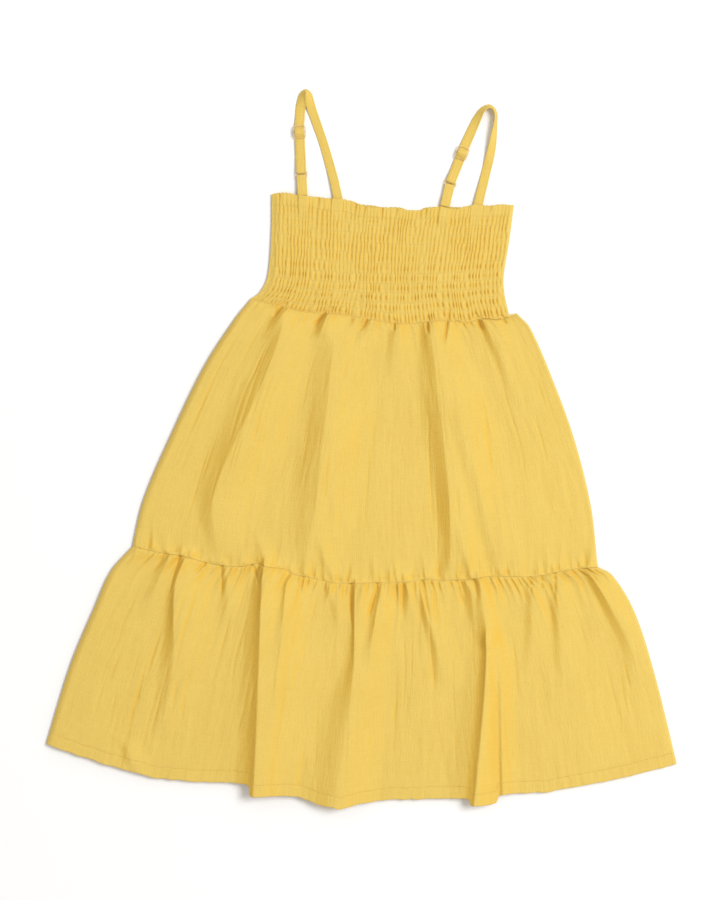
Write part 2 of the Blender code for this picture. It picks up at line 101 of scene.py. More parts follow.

# Colours of the cloth, its thread and the coated trim. Deep in a fold the cloth's colour is
# multiplied
# towards a richer, warmer tone: painted shade, standing in for the warm light the cloth around it
# throws there.
CLOTH_LIGHT = (0.800, 0.580, 0.143, 1)
CLOTH_DARK = (0.735, 0.512, 0.112, 1)
# Painted shade: the warm tone that the cloth's colour is multiplied by deep in folds and gathers
PAINTED_SHADE_TONE = (1.0, 0.88, 0.52, 1)
THREAD_LIGHT = (0.84, 0.62, 0.18, 1)
THREAD_DARK = (0.78, 0.55, 0.14, 1)
TRIM_DARK = (0.80, 0.58, 0.26, 1)
TRIM_LIGHT = (0.88, 0.68, 0.36, 1)
CLOTH_WEAVE = 0.42
THREAD_WEAVE = 0.2

# The key light, the sky, and the camera straight above the dress, in metres and degrees
KEY_SIZE = 1.2
KEY_DISTANCE = 3.2
KEY_ELEVATION = 57
KEY_AZIMUTH = 18
KEY_STRENGTH = 0.555
KEY_COLOUR = (1.0, 1.02, 1.05)
SKY_COLOUR = (1.0, 0.965, 0.915, 1)
SKY_STRENGTH = 0.65
LENS = 85
SENSOR = 36
FRAME_HEIGHT = 0.7749
FRAME_CENTRE = (-0.0013, -0.0009)

# Panels: the share down the panel, then x and y at its left side, its middle and its right side
BODICE = [
    (0, -77, 219, 26, 209.5, 131, 209), (0.34, -77.3, 187, 23, 177, 127, 179),
    (0.66, -80.3, 150, 21, 143.5, 122.2, 148), (0.85, -87, 135, 20, 125, 123.2, 132),
    (1, -96, 128, 20, 110, 127, 115),
]
SKIRT = [
    (0, -96, 127.6, 20, 109.3, 135.5, 114.6), (0.08, -109.5, 111, 19.5, 95, 145, 104),
    (0.3, -135, 71.5, 16.5, 53, 163, 63), (0.6, -165, 9.5, 14, -12, 183, 8),
    (0.85, -187.5, -44, 12.5, -76, 197.5, -51), (1, -197, -84, 12, -115.5, 203, -101),
]
TIER = [
    (0, -197.5, -84.4, 12, -115.9, 203.5, -101.4), (0.1, -215, -104, 11.5, -134, 216, -109),
    (0.3, -230, -137, 8, -170, 234, -138.5), (0.6, -250, -185, 4.5, -224, 251, -190),
    (1, -271, -253, 0, -299.6, 271, -270),
]

# Moves of the panels' edges: the place across from 0 to 1, and how far up the edge moves
HEADER_EDGE = [
    (0, 0), (0.08, 2.5), (0.19, 2.2), (0.24, 1.4), (0.29, 2), (0.34, 0.4), (0.37, -2.6),
    (0.45, -2.6), (0.5, -2.2), (0.54, -2.8), (0.57, -4.2), (0.6, -3.8), (0.64, -1.4), (0.7, 0.2),
    (0.77, -2.4), (0.81, -0.6), (0.84, 1.6), (0.9, 0.2), (1, 0.4),
]
BACK_HEADER_EDGE = [
    (0, 0), (0.34, 0.2), (0.37, -1.8), (0.45, -1.8), (0.5, -1), (0.54, -1.6), (0.57, -4.6),
    (0.61, -4.4), (0.635, -0.1), (0.68, 0.6), (0.74, -1), (0.8, -1.4), (0.84, 0), (1, 0),
]
HEM_EDGE = [
    (0, 0), (0.1, -3), (0.174, -4.2), (0.26, 0.8), (0.316, 5), (0.3245, 4.4), (0.3275, -4.2),
    (0.377, -1.8), (0.4, -1.4), (0.431, -6.2), (0.466, -8.8), (0.502, -3.8), (0.545, -0.6),
    (0.645, -0.5), (0.662, -0.8), (0.672, -1.6), (0.675, -6.6), (0.695, -7.4), (0.714, -7),
    (0.718, -1), (0.731, 0), (0.79, -2.9), (0.874, -1.8), (1, 0),
]
BACK_HEM_LIFT = 3.0

# Moves of the seams: x, and how far the seam lies above its panel's even curve
WAIST_SEAM = [
    (-96, 0.4), (-66, 0.8), (-50, 0.1), (-33, 2), (-0.5, 1.9), (5, 0.9), (29, -1.2), (46, -1),
    (58, 0.5), (74, 1), (91, -1.5), (101, 0.3), (115, -1.5), (122, -1.4), (135.5, 0),
]
TIER_SEAM = [
    (-197.5, 0), (-192, 1), (-173.5, 0.9), (-153, 2.8), (-134, 0.9), (-118.5, 1), (-101, 3.4),
    (-90, 7.6), (-77, 6.6), (-66, 6), (-60, 3.2), (-49.5, 1.7), (-35.5, 0), (-22, -1.4), (-3, 0),
    (16, 1.2), (31.5, 1.6), (52, 4.2), (68, 3.7), (94, 3.7), (110, 5), (125, 3.6), (148, 1),
    (166, 1.7), (182, 2.2), (203.5, 0),
]
EVEN_SEAM = [(-200, 0), (200, 0)]

# Narrow little pleats at the seams: x, lean, depth, and how far each runs from the seam
WAIST_NICKS = [
    (-69.5, 0.9, 1.2, 12), (-31.4, 1.3, 1.5, 13), (4.7, 0.9, 0.9, 13), (28, 0.1, 1, 8),
    (57.3, 0, 1.2, 12), (73.6, 0.2, 1, 24), (100.3, -0.6, 1.3, 12), (121.8, -0.8, 0.9, 6),
]
TIER_NICKS = [
    (-190, 0.6, 0.5, 9), (-183, 0.5, 0.4, 8), (-156, 0.4, 0.8, 40), (-134, 0.3, 0.5, 16),
    (-120, 0, 0.6, 30), (-94.3, -0.7, 0.9, 22), (-82.2, 0.4, 0.8, 20), (-50, 0.5, 0.5, 18),
    (-9.9, -0.1, 1, 50), (13.3, 0.4, 0.9, 38), (52, -0.3, 0.9, 40), (81.4, -0.5, 0.8, 26),
    (96, -0.4, 1.1, 20), (145, 0, 0.6, 22), (154.6, 0, 0.5, 20), (165.8, 0, 0.8, 26),
    (192.4, -1, 0.9, 24),
]

# Where the straps and the ring's loops lie under the header, and where the header is pinched,
# from 0 at the left to 1 at the right
STRAP_BANDS = [(0.111, 0.152), (0.254, 0.295), (0.698, 0.742), (0.828, 0.869)]
TAB_BANDS = [STRAP_BANDS[0], STRAP_BANDS[2]]
HEADER_DARTS = [0.030, 0.197, 0.246, 0.352, 0.389, 0.46, 0.52, 0.615, 0.64, 0.815, 0.905]

# How far the air under a panel lifts it: the share down the panel, and the rise
SKIRT_PUFF = [(0, 1.3), (0.12, 4.2), (0.45, 4.4), (0.85, 3.0), (1, 1.6)]
TIER_PUFF = [(0, 1.6), (0.15, 3.8), (0.5, 4.2), (1, 2.8)]

# Gathers at a panel's seams: the seam, their number and seed, and the least and the most of
# their height, length and half width
SKIRT_GATHERS = [
    ("upper", 40, 33, (0.25, 0.8), (8, 40), (1.3, 3.0)),
    ("upper", 52, 34, (0.3, 0.7), (4, 14), (1.0, 1.9)),
    ("lower", 54, 35, (0.6, 1.5), (8, 34), (1.2, 2.6)),
    ("lower", 96, 36, (0.3, 0.8), (4, 14), (0.8, 1.5)),
]
TIER_GATHERS = [
    ("upper", 58, 31, (0.6, 1.6), (16, 66), (1.1, 2.4)),
    ("upper", 80, 32, (0.4, 1.0), (10, 40), (0.8, 1.5)),
    ("upper", 120, 37, (0.5, 1.0), (5, 18), (0.6, 1.0)),
]

# The folds of the front, left to right, the skirt's first and then the tier's. Each row is a
# place on the fold's crest: y, x, rise, the reach of its left and right flanks, how far it leans
# to the left over its own flank, and how crisp the crest is, from 0 to 1.
FRONT_FOLDS = {
    "waist_dart_left": [
        (134, -50, 0, 7, 14, 0, 0.5), (128, -56, 3.6, 8, 18, 1, 0.6),
        (116, -67, 4.4, 9, 20, 1, 0.6), (104, -74, 1.6, 10, 22, 0, 0.4),
        (94, -78, 0, 10, 22, 0, 0.2),
    ],
    "skirt_left": [
        (122, -62, 0, 12, 20, 0, 0.2), (108, -67, 4.6, 16, 30, 0, 0.6),
        (84, -74, 7.2, 23, 44, 1, 0.8), (42, -91, 8.2, 26, 52, 1, 0.8),
        (0, -111, 8.4, 26, 54, 1, 0.8), (-28, -123, 7.4, 22, 50, 1, 0.8),
        (-50, -128, 5.6, 16, 46, 1, 0.6), (-76, -125, 2.8, 12, 38, 0, 0.2),
        (-98, -120, 0, 12, 30, 0, 0),
    ],
    "waist_dart_middle": [
        (134, -17, 0, 5, 12, 0, 0.5), (127, -21, 3.2, 7, 14, 1, 0.6),
        (114, -29, 4.6, 8, 18, 1, 0.7), (103, -34, 4.2, 9, 20, 1, 0.6),
        (94, -37, 1.8, 10, 20, 0, 0.3), (84, -39, 0, 10, 20, 0, 0.1),
    ],
    "skirt_middle_left": [
        (112, -22, 0, 18, 24, 0, 0), (96, -23.5, 4, 18, 32, 0, 0.2), (70, -26, 6.8, 25, 40, 1, 0.4),
        (42, -29, 8, 29, 46, 1, 0.5), (0, -34.5, 8.2, 29, 46, 1, 0.5),
        (-44, -38.5, 6.8, 25, 42, 1, 0.4), (-80, -43, 4, 20, 34, 0, 0),
        (-104, -46, 1, 16, 26, 0, 0), (-118, -47.5, 0, 14, 20, 0, 0),
    ],
    "waist_short_one": [
        (118, 10, 0, 4, 12, 0, 0.5), (111, 8, 2.6, 5, 14, 0, 0.6), (98, 4, 1.5, 7, 16, 0, 0.3),
        (82, 0, 0, 8, 16, 0, 0),
    ],
    "waist_short_two": [
        (118, 30, 0, 4, 14, 0, 0.5), (111, 30, 2.6, 5, 18, 0, 0.5), (84, 28, 1.8, 8, 22, 0, 0.1),
        (48, 26, 0, 9, 24, 0, 0),
    ],
    "skirt_middle_right": [
        (122, 56.5, 0.4, 4, 12, 0, 0.7), (112, 57.5, 3.8, 7, 18, 1, 0.8),
        (92, 60, 5.4, 13, 30, 1, 0.6), (42, 67, 7.2, 20, 46, 1, 0.5), (0, 71, 7.6, 18, 48, 1, 0.5),
        (-44, 75, 7, 14, 44, 1, 0.6), (-86, 76, 5, 11, 36, 1, 0.5), (-112, 73, 1.8, 7, 22, 0, 0.4),
        (-124, 71, 0, 6, 18, 0, 0.2),
    ],
    "waist_short_three": [
        (117, 77, 0, 3, 12, 0, 0.5), (110, 75, 2.6, 5, 14, 0, 0.6), (88, 71, 0, 6, 14, 0, 0.2),
    ],
    "waist_right": [
        (119, 100, 0, 4, 16, 0, 0.6), (112, 103, 3.6, 5, 24, 0, 0.7), (96, 111, 3.2, 7, 28, 0, 0.5),
        (62, 126, 1.5, 8, 28, 0, 0.2), (34, 134, 0, 10, 26, 0, 0),
    ],
    "skirt_right_faint": [
        (64, 80, 0, 11, 30, 0, 0), (20, 88, 2.1, 12, 34, 0, 0), (-30, 101, 2.9, 12, 38, 0, 0),
        (-80, 113, 2.2, 12, 34, 0, 0), (-110, 122, 0, 10, 26, 0, 0),
    ],
    "seam_short_a": [
        (-70, -90, 0, 6, 12, 0, 0.3), (-86, -86, 1.6, 6, 12, 0, 0.5),
        (-100, -82, 1.6, 6, 10, 0, 0.3), (-112, -80, 0, 6, 10, 0, 0),
    ],
    "seam_short_b": [
        (-72, -37, 0, 6, 14, 0, 0.2), (-88, -33, 1.4, 6, 14, 0, 0.3),
        (-106, -27, 1.8, 6, 14, 0, 0.3), (-114, -25, 0, 6, 14, 0, 0.2),
    ],
    "seam_short_c": [
        (-60, 84, 0, 6, 16, 0, 0.2), (-90, 89, 1.6, 6, 16, 0, 0.3), (-108, 94, 1.2, 6, 14, 0, 0.3),
        (-116, 95, 0, 6, 14, 0, 0.2),
    ],
    "tier_left_short": [
        (-84, -163, 0, 6, 14, 0, 0.3), (-93, -165, 3.6, 7, 18, 0, 0.6),
        (-112, -173, 3.2, 9, 20, 0, 0.4), (-132, -181, 1.2, 10, 20, 0, 0.1),
        (-150, -186, 0, 10, 20, 0, 0),
    ],
    "tier_left": [
        (-86, -150, 0, 5, 14, 0, 0.4), (-98, -153.5, 4.6, 7, 22, 1, 0.8),
        (-118, -160, 6.2, 8, 32, 2, 0.8), (-150, -161, 6.2, 10, 38, 2, 0.6),
        (-174, -160.5, 5.2, 13, 38, 1, 0.4), (-200, -164, 3.6, 14, 34, 0, 0.4),
        (-228, -169, 2, 10, 28, 0, 0.4), (-250, -173, 0, 9, 24, 0, 0.2),
    ],
    "tier_left_faint": [
        (-94, -117, 0, 5, 12, 0, 0.3), (-106, -116, 2.4, 6, 16, 0, 0.4),
        (-130, -115, 1.8, 6, 18, 0, 0.2), (-152, -117, 0, 7, 18, 0, 0),
    ],
    "tier_lapped": [
        (-88, -80, 0, 8, 18, 0, 0.6), (-104, -83, 4, 12, 30, 1, 0.9), (-120, -84, 5, 17, 46, 1, 1),
        (-160, -85, 6.4, 26, 60, 1, 1), (-200, -86, 7.2, 34, 64, 1, 1),
        (-250, -88, 7.4, 34, 64, 1, 1), (-300, -91, 7.4, 32, 60, 1, 1),
    ],
    "tier_lapped_edge": [
        (-92, -80, 0, 4, 12, 0, 0.6), (-102, -83, 2.6, 9, 14, 2, 0.8),
        (-124, -84.5, 3.8, 15, 20, 2, 0.9), (-180, -87, 4.4, 18, 24, 2, 0.9),
        (-250, -89.5, 4.6, 18, 24, 2, 0.8), (-300, -92, 4.6, 18, 24, 2, 0.8),
    ],
    "tier_small_a": [
        (-106, -62, 0, 4, 12, 0, 0.5), (-120, -64.5, 3.4, 5, 14, 1, 0.8),
        (-150, -67, 3.8, 7, 18, 1, 0.8), (-180, -70, 2.8, 8, 20, 1, 0.7),
        (-212, -72.5, 1.6, 9, 20, 0, 0.4), (-250, -74, 0, 9, 20, 0, 0),
    ],
    "tier_small_b": [
        (-106, -28, 0, 5, 12, 0, 0.4), (-118, -27, 1.4, 6, 14, 0, 0.4),
        (-140, -21, 1.1, 6, 16, 0, 0.2), (-162, -16, 0, 7, 16, 0, 0),
    ],
    "tier_middle": [
        (-110, -5, 0, 3, 12, 0, 0.6), (-121, -6, 4, 4, 20, 1, 0.9), (-164, -6.5, 5, 7, 28, 2, 0.9),
        (-186, -7, 5.6, 11, 32, 2, 0.7), (-216, -10, 7.4, 22, 36, 2, 0.6),
        (-258, -16, 9, 32, 38, 1, 0.3), (-306, -24, 9.6, 36, 40, 0, 0.2),
    ],
    "tier_small_c": [
        (-112, 19, 0, 4, 12, 0, 0.4), (-124, 15.5, 3.2, 4, 16, 0, 0.7),
        (-150, 11, 4.4, 5.5, 22, 1, 0.8), (-172, 9, 2.4, 7, 22, 0, 0.4), (-192, 8, 0, 8, 20, 0, 0),
    ],
    "tier_small_d": [
        (-112, 38, 0, 4, 12, 0, 0.4), (-124, 39, 2.2, 5, 14, 0, 0.4), (-152, 41, 0, 6, 16, 0, 0),
    ],
    "tier_small_e": [
        (-112, 49, 0, 4, 12, 0, 0.4), (-124, 51, 3.2, 6, 16, 0, 0.5),
        (-152, 59, 3.2, 7, 20, 0, 0.4), (-186, 68, 1.6, 8, 22, 0, 0.2), (-208, 72, 0, 9, 22, 0, 0),
    ],
    "tier_right_dart": [
        (-104, 99, 0, 6, 12, 0, 0.5), (-116, 101, 4, 12, 14, 0, 0.6),
        (-138, 104, 5.2, 16, 16, 1, 0.5), (-158, 107, 5, 14, 16, 1, 0.8),
        (-174, 108, 0, 8, 16, 0, 0.6),
    ],
    "tier_right": [
        (-150, 108, 0, 8, 14, 0, 0.7), (-166, 108, 3, 16, 18, 1, 0.8),
        (-190, 107.5, 5.2, 24, 22, 1, 0.8), (-226, 104.5, 6.6, 31, 26, 1, 0.8),
        (-262, 100.5, 7.2, 34, 29, 1, 0.8), (-306, 97, 7.2, 34, 32, 1, 0.8),
    ],
    "tier_right_lap": [
        (-154, 108, 0, 4, 10, 0, 0.7), (-168, 108, 3.2, 7, 12, 2, 0.8),
        (-226, 104.5, 3.4, 9, 14, 2, 0.8), (-306, 97, 3.2, 9, 16, 2, 0.8),
    ],
    "tier_right_edge": [
        (-158, 119, 0, 3, 10, 0, 0.4), (-186, 119, 1.8, 3, 14, 0, 0.7),
        (-250, 120, 2.4, 3, 16, 0, 0.7), (-306, 121, 2.6, 3, 16, 0, 0.7),
    ],
    "tier_small_f": [
        (-110, 144, 0, 5, 12, 0, 0.3), (-124, 145, 2.4, 6, 16, 0, 0.4),
        (-160, 146, 1.8, 7, 18, 0, 0.1), (-196, 142, 0, 8, 18, 0, 0),
    ],
    "tier_small_g": [
        (-110, 166, 0, 5, 14, 0, 0.3), (-122, 167, 2.6, 6, 20, 0, 0.4),
        (-170, 171, 2, 8, 24, 0, 0.1), (-224, 176, 0, 9, 26, 0, 0),
    ],
    "tier_far_right": [
        (-97, 191, 0, 6, 14, 0, 0.4), (-107, 196, 3.6, 7, 18, 0, 0.6),
        (-132, 211, 3.6, 9, 22, 0, 0.5), (-166, 229, 2.8, 10, 22, 0, 0.2),
        (-206, 240, 0, 12, 22, 0, 0),
    ],
    "hem_corner_left": [
        (-246, -205, 0, 7, 14, 0, 0.1), (-262, -199, 2, 8, 18, 0, 0.3),
        (-278, -193, 1.4, 8, 18, 0, 0.2),
    ],
}

# One row of cloth beyond a panel's edge: how far out from the edge, how far below it, and the
# most height that it may have
RimRow = namedtuple("RimRow", "out drop most", defaults=(math.inf,))
# Rims: a hem turned under, a lip at a seam, and an edge tucked under its neighbour's lip
TURNED_UNDER = [RimRow(-9.0, 1.9), RimRow(-4.0, 1.9), RimRow(-1.0, 1.8), RimRow(-0.2, 1.6)]
TURNED_UNDER += [RimRow(0.25, 1.2), RimRow(0.35, 0.8), RimRow(0.25, 0.35)]
SEAM_LIP = [RimRow(-2.0, 0.6), RimRow(-0.7, 0.55), RimRow(0.1, 0.42), RimRow(0.42, 0.12)]
HEADER_RIM = [RimRow(-3.0, 1.5), RimRow(-1.0, 1.5), RimRow(-0.2, 1.3), RimRow(0.2, 0.95)]
HEADER_RIM += [RimRow(0.3, 0.6), RimRow(0.2, 0.25)]
TUCKED = [RimRow(3.0, 0.95, 2.1), RimRow(1.8, 0.8, 2.3), RimRow(0.9, 0.55, 2.9)]
TUCKED += [RimRow(0.35, 0.3, 4.2)]
# The back's rims turn the other way, up from the surface
TURNED_BACK = [RimRow(-8.0, -0.35), RimRow(-4.0, -0.35), RimRow(-0.4, -0.3), RimRow(0.2, -0.15)]
SEAM_BACK = [RimRow(0.05, -0.1)]

# The straps' paths beyond their sliders: x, y, lift, and the azimuth and tilt of the width
LEFT_STRAP_TOP = [
    (-53, 285.5, 0.2, 1, 0), (-52.6, 292, 0, -3, 2), (-51.4, 299, 0, -4, 20),
    (-50.3, 304.6, 0, -18, 46), (-47.9, 307.6, 0, -88, 62), (-45.6, 304.6, 0, -158, 46),
    (-44.6, 299, 0, -166, 22), (-43.1, 293, 0, -166, 6), (-40, 284, 0, -165, 0),
    (-33.1, 264.3, 0, -165, 0), (-27.1, 243.7, 0.2, -164, 0), (-23.9, 232, 1.2, -165, 0),
    (-21.8, 223, 1.8, -166, 0), (-20.2, 215, 1.8, -168, 0), (-18.6, 207, 1.8, -168, 0),
]
RIGHT_STRAP_TOP = [
    (92.6, 269, 0.3, -22, 0), (96.4, 277.5, 0, -25, 10), (100.2, 285.2, 0, -30, 32),
    (104.2, 291.6, 0, -50, 52), (109.4, 294.4, 0, -90, 60), (113.8, 292, 0, -140, 68),
    (115.6, 286.6, 0, -172, 70), (115.2, 279.8, 0, -184, 68), (114.2, 272.6, 0, -190, 54),
    (112.6, 262, 0, -192, 32), (110.4, 251, 0, -192, 14), (107.6, 240, 0.1, -193, 0),
    (104.6, 227.5, 1.2, -193, 0), (102.4, 219, 1.8, -193, 0), (100.2, 210, 1.8, -193, 0),
    (98.4, 202, 1.8, -193, 0),
]
# Where a ribbon looks narrower: its share of the strap's length, and its share of the width
LEFT_NARROWING = [(0, 1), (0.55, 1), (0.68, 0.90), (0.92, 0.93), (1, 1)]
RIGHT_NARROWING = [(0, 1), (0.5, 0.97), (0.62, 0.93), (0.8, 0.92), (1, 1)]
# Each side's strap: the ring's place, the leg's heading, the slider's distance along the leg, the
# tab's heading and length, the path and the narrowing beyond the slider, and the first seed
Side = namedtuple("Side", "name ring heading slider tab_heading tab_length top narrowing seed")
SIDES = [
    Side("left", (-51.6, 236.3), 92.7, 36.2, 92.7, 17.0, LEFT_STRAP_TOP, LEFT_NARROWING, 5),
    Side("right", (76.2, 228.2), 68.5, 28.0, 77.0, 18.6, RIGHT_STRAP_TOP, RIGHT_NARROWING, 9),
]


def ease(share):
    """Smooth step from 0 to 1."""
    share = np.clip(share, 0.0, 1.0)
    return share * share * (3.0 - 2.0 * share)


def faded(distance, reach):
    """Smooth step from 1 down to 0, where the distance comes to the reach."""
    return 1 - ease(distance / reach)


def bell(offset, half):
    """A soft ridge of height 1, with its half width."""
    return np.exp(-((offset / half) ** 2))


def smooth_column(keys, values, at):
    """A table's column at many places, on a smooth curve through its rows."""
    keys = np.asarray(keys, float)
    values = np.asarray(values, float)
    last = len(keys) - 1
    low = np.maximum(np.arange(last + 1) - 1, 0)
    high = np.minimum(np.arange(last + 1) + 1, last)
    tangents = (values[high] - values[low]) / (keys[high] - keys[low])
    at = np.clip(at, keys[0], keys[-1])
    before = np.clip(np.searchsorted(keys, at, side="right") - 1, 0, last - 1)
    span = keys[before + 1] - keys[before]
    t = (at - keys[before]) / span
    return (
        values[before] * (2 * t**3 - 3 * t**2 + 1)
        + tangents[before] * span * (t**3 - 2 * t**2 + t)
        + values[before + 1] * (3 * t**2 - 2 * t**3)
        + tangents[before + 1] * span * (t**3 - t**2)
    )


def straight_column(rows, at):
    """The second column of a table at many places, on straight lines between its rows."""
    return np.interp(at, *zip(*rows))


def seam_rise(moves, x):
    """How far a seam lies above its even curve at each place."""
    return smooth_column(*zip(*moves), x)


def through_three(first, middle, last, t):
    """A smooth curve through values at 0, a half and 1."""
    return first * (1 - t) * (1 - 2 * t) + middle * 4 * t * (1 - t) + last * t * (2 * t - 1)


def panel_place(sections, across, along):
    """Plan positions on a panel, and its width there."""
    keys, *columns = zip(*sections)
    columns = [smooth_column(keys, column, along) for column in columns]
    left_x, left_y, middle_x, middle_y, right_x, right_y = columns
    x = through_three(left_x, middle_x, right_x, across)
    y = through_three(left_y, middle_y, right_y, across)
    return x, y, right_x - left_x


def noise(u, v, seed):
    """Smooth random waves from -1 to 1, about one for each unit of u and v."""
    size = 256
    lattice = np.random.default_rng(seed).uniform(-1, 1, (size, size))
    u_cell = np.floor(u).astype(int)
    v_cell = np.floor(v).astype(int)
    u_share = ease(u - u_cell)
    v_share = ease(v - v_cell)
    corner = lattice[v_cell % size, u_cell % size]
    right = lattice[v_cell % size, (u_cell + 1) % size]
    below = lattice[(v_cell + 1) % size, u_cell % size]
    across_from = lattice[(v_cell + 1) % size, (u_cell + 1) % size]
    upper = corner + (right - corner) * u_share
    lower = below + (across_from - below) * u_share
    return upper + (lower - upper) * v_share


def fold_shape(x, crest, left, right, crisp):
    """A fold's profile from 0 to 1: its left flank steepens to a crease where it is crisp."""
    distance = x - crest
    left_share = np.clip(1 + distance / left, 0, 1)
    right_share = np.clip(1 - distance / right, 0, 1)
    left_flank = (1 - crisp) * ease(left_share) + crisp * left_share**2
    return np.where(distance < 0, left_flank, ease(right_share))


def fold_relief(folds, x, y):
    """How far all the folds lift the cloth at each place, and how far they lean to the left."""
    rise = np.zeros_like(x)
    shift = np.zeros_like(x)
    for rows in folds.values():
        keys, *columns = zip(*sorted(rows))
        lowest_rise = columns[1][0]
        inside = (y < keys[-1]) & ((y > keys[0]) | (lowest_rise > 0))
        columns = [smooth_column(keys, column, y) for column in columns]
        crest, height, left, right, lean, crisp = columns
        lean = np.maximum(lean, 0)
        shape = fold_shape(x, crest + lean, left + lean, right, np.clip(crisp, 0, 1))
        rise += np.maximum(height, 0) * shape * inside
        shift -= lean * shape**1.5 * inside
    return rise, shift


def puckers(across, distance, width, count, seed, height, reach, spread):
    """Small gathers that leave a seam: each is a narrow ridge or valley that dies out."""
    rng = np.random.default_rng(seed)
    total = np.zeros_like(across)
    for k in range(count):
        place = (k + 0.5 + rng.uniform(-0.45, 0.45)) / count
        length = rng.uniform(*reach)
        size = rng.uniform(*height) * rng.choice([1.0, 1.0, -0.8])
        half = rng.uniform(*spread)
        drift = rng.uniform(-0.16, 0.16)
        share = np.clip(distance / length, 0, 1)
        strength = (1 - share) ** 2 * (1 + 2.5 * share) * ease(distance / 1.5 + 0.35)
        offset = (across - place) * width - drift * distance
        total += size * strength * bell(offset, half * (1 + 0.9 * share))
    return total


def fine_creases(across, along, width, count, seed):
    """Long thin creases that run down the cloth, most of them near its left side."""
    rng = np.random.default_rng(seed)
    total = np.zeros_like(across)
    for k in range(count):
        place = 0.05 + 0.13 * rng.random() if k % 3 == 0 else rng.uniform(0.03, 0.97)
        first = rng.uniform(0.0, 0.65)
        last = first + rng.uniform(0.15, 0.5)
        depth = rng.uniform(0.22, 0.60)
        half = rng.uniform(0.8, 1.25)
        wander = 1.5 * noise(along * 5, along * 0 + k, seed)
        offset = (across - place) * width - wander
        here = ease((along - first) / 0.1) * ease((last - along) / 0.1)
        total -= depth * here * bell(offset, half)
    return total


def crinkle(across_mm, down_mm, seed):
    """The cloth's own crinkle: fine upright creases on broader unevenness."""
    bend = 1.6 * noise(across_mm / 60, down_mm / 26, seed + 7)
    fine = noise((across_mm + bend) / 2.4, down_mm / 17, seed)
    middle = noise((across_mm + bend) / 5.5, down_mm / 30, seed + 1)
    level = noise(across_mm / 24, (down_mm + bend) / 4.2, seed + 4)
    broad = noise(across_mm / 32, down_mm / 55, seed + 2)
    patches = 0.55 + 0.45 * noise(across_mm / 40, down_mm / 40, seed + 3)
    return (0.14 * fine + 0.38 * middle) * patches + 0.09 * level + 0.60 * broad


def add_mesh(name, points, faces, material, slot="cloth", **numbers):
    """A smooth mesh from points in millimetres, with numbers stored on its points."""
    mesh = bpy.data.meshes.new(name)
    mesh.from_pydata((np.asarray(points, float) * MM).tolist(), [], faces)
    for field, values in numbers.items():
        values = np.asarray(values, np.float32)
        kind, entry = ("FLOAT_VECTOR", "vector") if values.ndim == 2 else ("FLOAT", "value")
        mesh.attributes.new(field, kind, "POINT").data.foreach_set(entry, values.ravel())
    mesh.shade_smooth()
    mesh.materials.append(material)
    obj = bpy.data.objects.new(name, mesh)
    bpy.context.scene.collection.objects.link(obj)
    return obj


def grid_faces(rows, columns):
    """The faces of a grid of points that is numbered row by row."""
    corner = np.arange(rows * columns).reshape(rows, columns)
    corners = [corner[:-1, :-1], corner[1:, :-1], corner[1:, 1:], corner[:-1, 1:]]
    return np.stack(corners, axis=-1).reshape(-1, 4).tolist()


def bar_faces(count, sides, closed=False, first=0):
    """The faces of a bar that is numbered ring by ring, with a cap at each open end."""
    faces = []
    for i in range(count if closed else count - 1):
        here = first + i * sides
        following = first + (i + 1) % count * sides
        for k in range(sides):
            after = (k + 1) % sides
            faces.append((here + k, here + after, following + after, following + k))
    if not closed:
        faces.append(tuple(first + k for k in range(sides - 1, -1, -1)))
        faces.append(tuple(first + (count - 1) * sides + k for k in range(sides)))
    return faces


def bar_points(path, half_width, half_height, sides, closed=False):
    """Points round a path, ring by ring."""
    path = np.asarray(path, float)
    ahead = np.gradient(path, axis=0)
    if closed:
        ahead = np.roll(path, -1, axis=0) - np.roll(path, 1, axis=0)
    ahead = ahead / np.maximum(np.linalg.norm(ahead, axis=1), 1e-9)[:, None]
    across = np.cross(ahead, (0.0, 0.0, 1.0))
    across = across / np.maximum(np.linalg.norm(across, axis=1), 1e-9)[:, None]
    up = np.cross(across, ahead)
    angles = (np.arange(sides) * 2 * math.pi / sides)[:, None]
    rings = across[:, None] * half_width * np.cos(angles) + up[:, None] * half_height * np.sin(angles)
    return (path[:, None] + rings).reshape(-1, 3)


def rim_rows(x, y, z, inner_x, inner_y, rim):
    """Rows of points beyond an edge, from the furthest to the nearest."""
    out_x = x - inner_x
    out_y = y - inner_y
    length = np.maximum(np.hypot(out_x, out_y), 1e-6)
    out_x = out_x / length
    out_y = out_y / length
    rows = []
    for row in rim:
        height = np.maximum(np.minimum(z - row.drop, row.most), LOWEST)
        rows.append((x + out_x * row.out, y + out_y * row.out, height))
    return rows


def with_rims(x, y, z, top_rim, low_rim):
    """A panel's rows with the rims of its upper and lower edges added."""
    inner = 2
    top = rim_rows(x[0], y[0], z[0], x[inner], y[inner], top_rim)
    low = rim_rows(x[-1], y[-1], z[-1], x[-1 - inner], y[-1 - inner], low_rim)[::-1]
    stacked = []
    for axis, values in enumerate((x, y, z)):
        upper = [row[axis] for row in top]
        lower = [row[axis] for row in low]
        stacked.append(np.vstack(upper + [values] + lower))
    return stacked


def panel_grid(columns, rows, edge_bias=0.0):
    """Even places across and along a panel, closer together at its two ends."""
    across = np.linspace(0, 1, columns)
    along = np.linspace(0, 1, rows)
    along = along - edge_bias * np.sin(2 * math.pi * along) / (2 * math.pi)
    return np.meshgrid(across, along)


def side_profile(from_side, rounding):
    """The rise of a rounded side edge, from 0 at the edge to 1."""
    return np.sin(0.5 * math.pi * np.clip(from_side / rounding, 0, 1))


def edge_distance(x, y):
    """Distance of every point of a panel from its lower edge, down its own column."""
    steps = np.hypot(np.diff(x, axis=0), np.diff(y, axis=0))
    down = np.vstack([np.zeros((1, x.shape[1])), np.cumsum(steps, axis=0)])
    return down[-1] - down


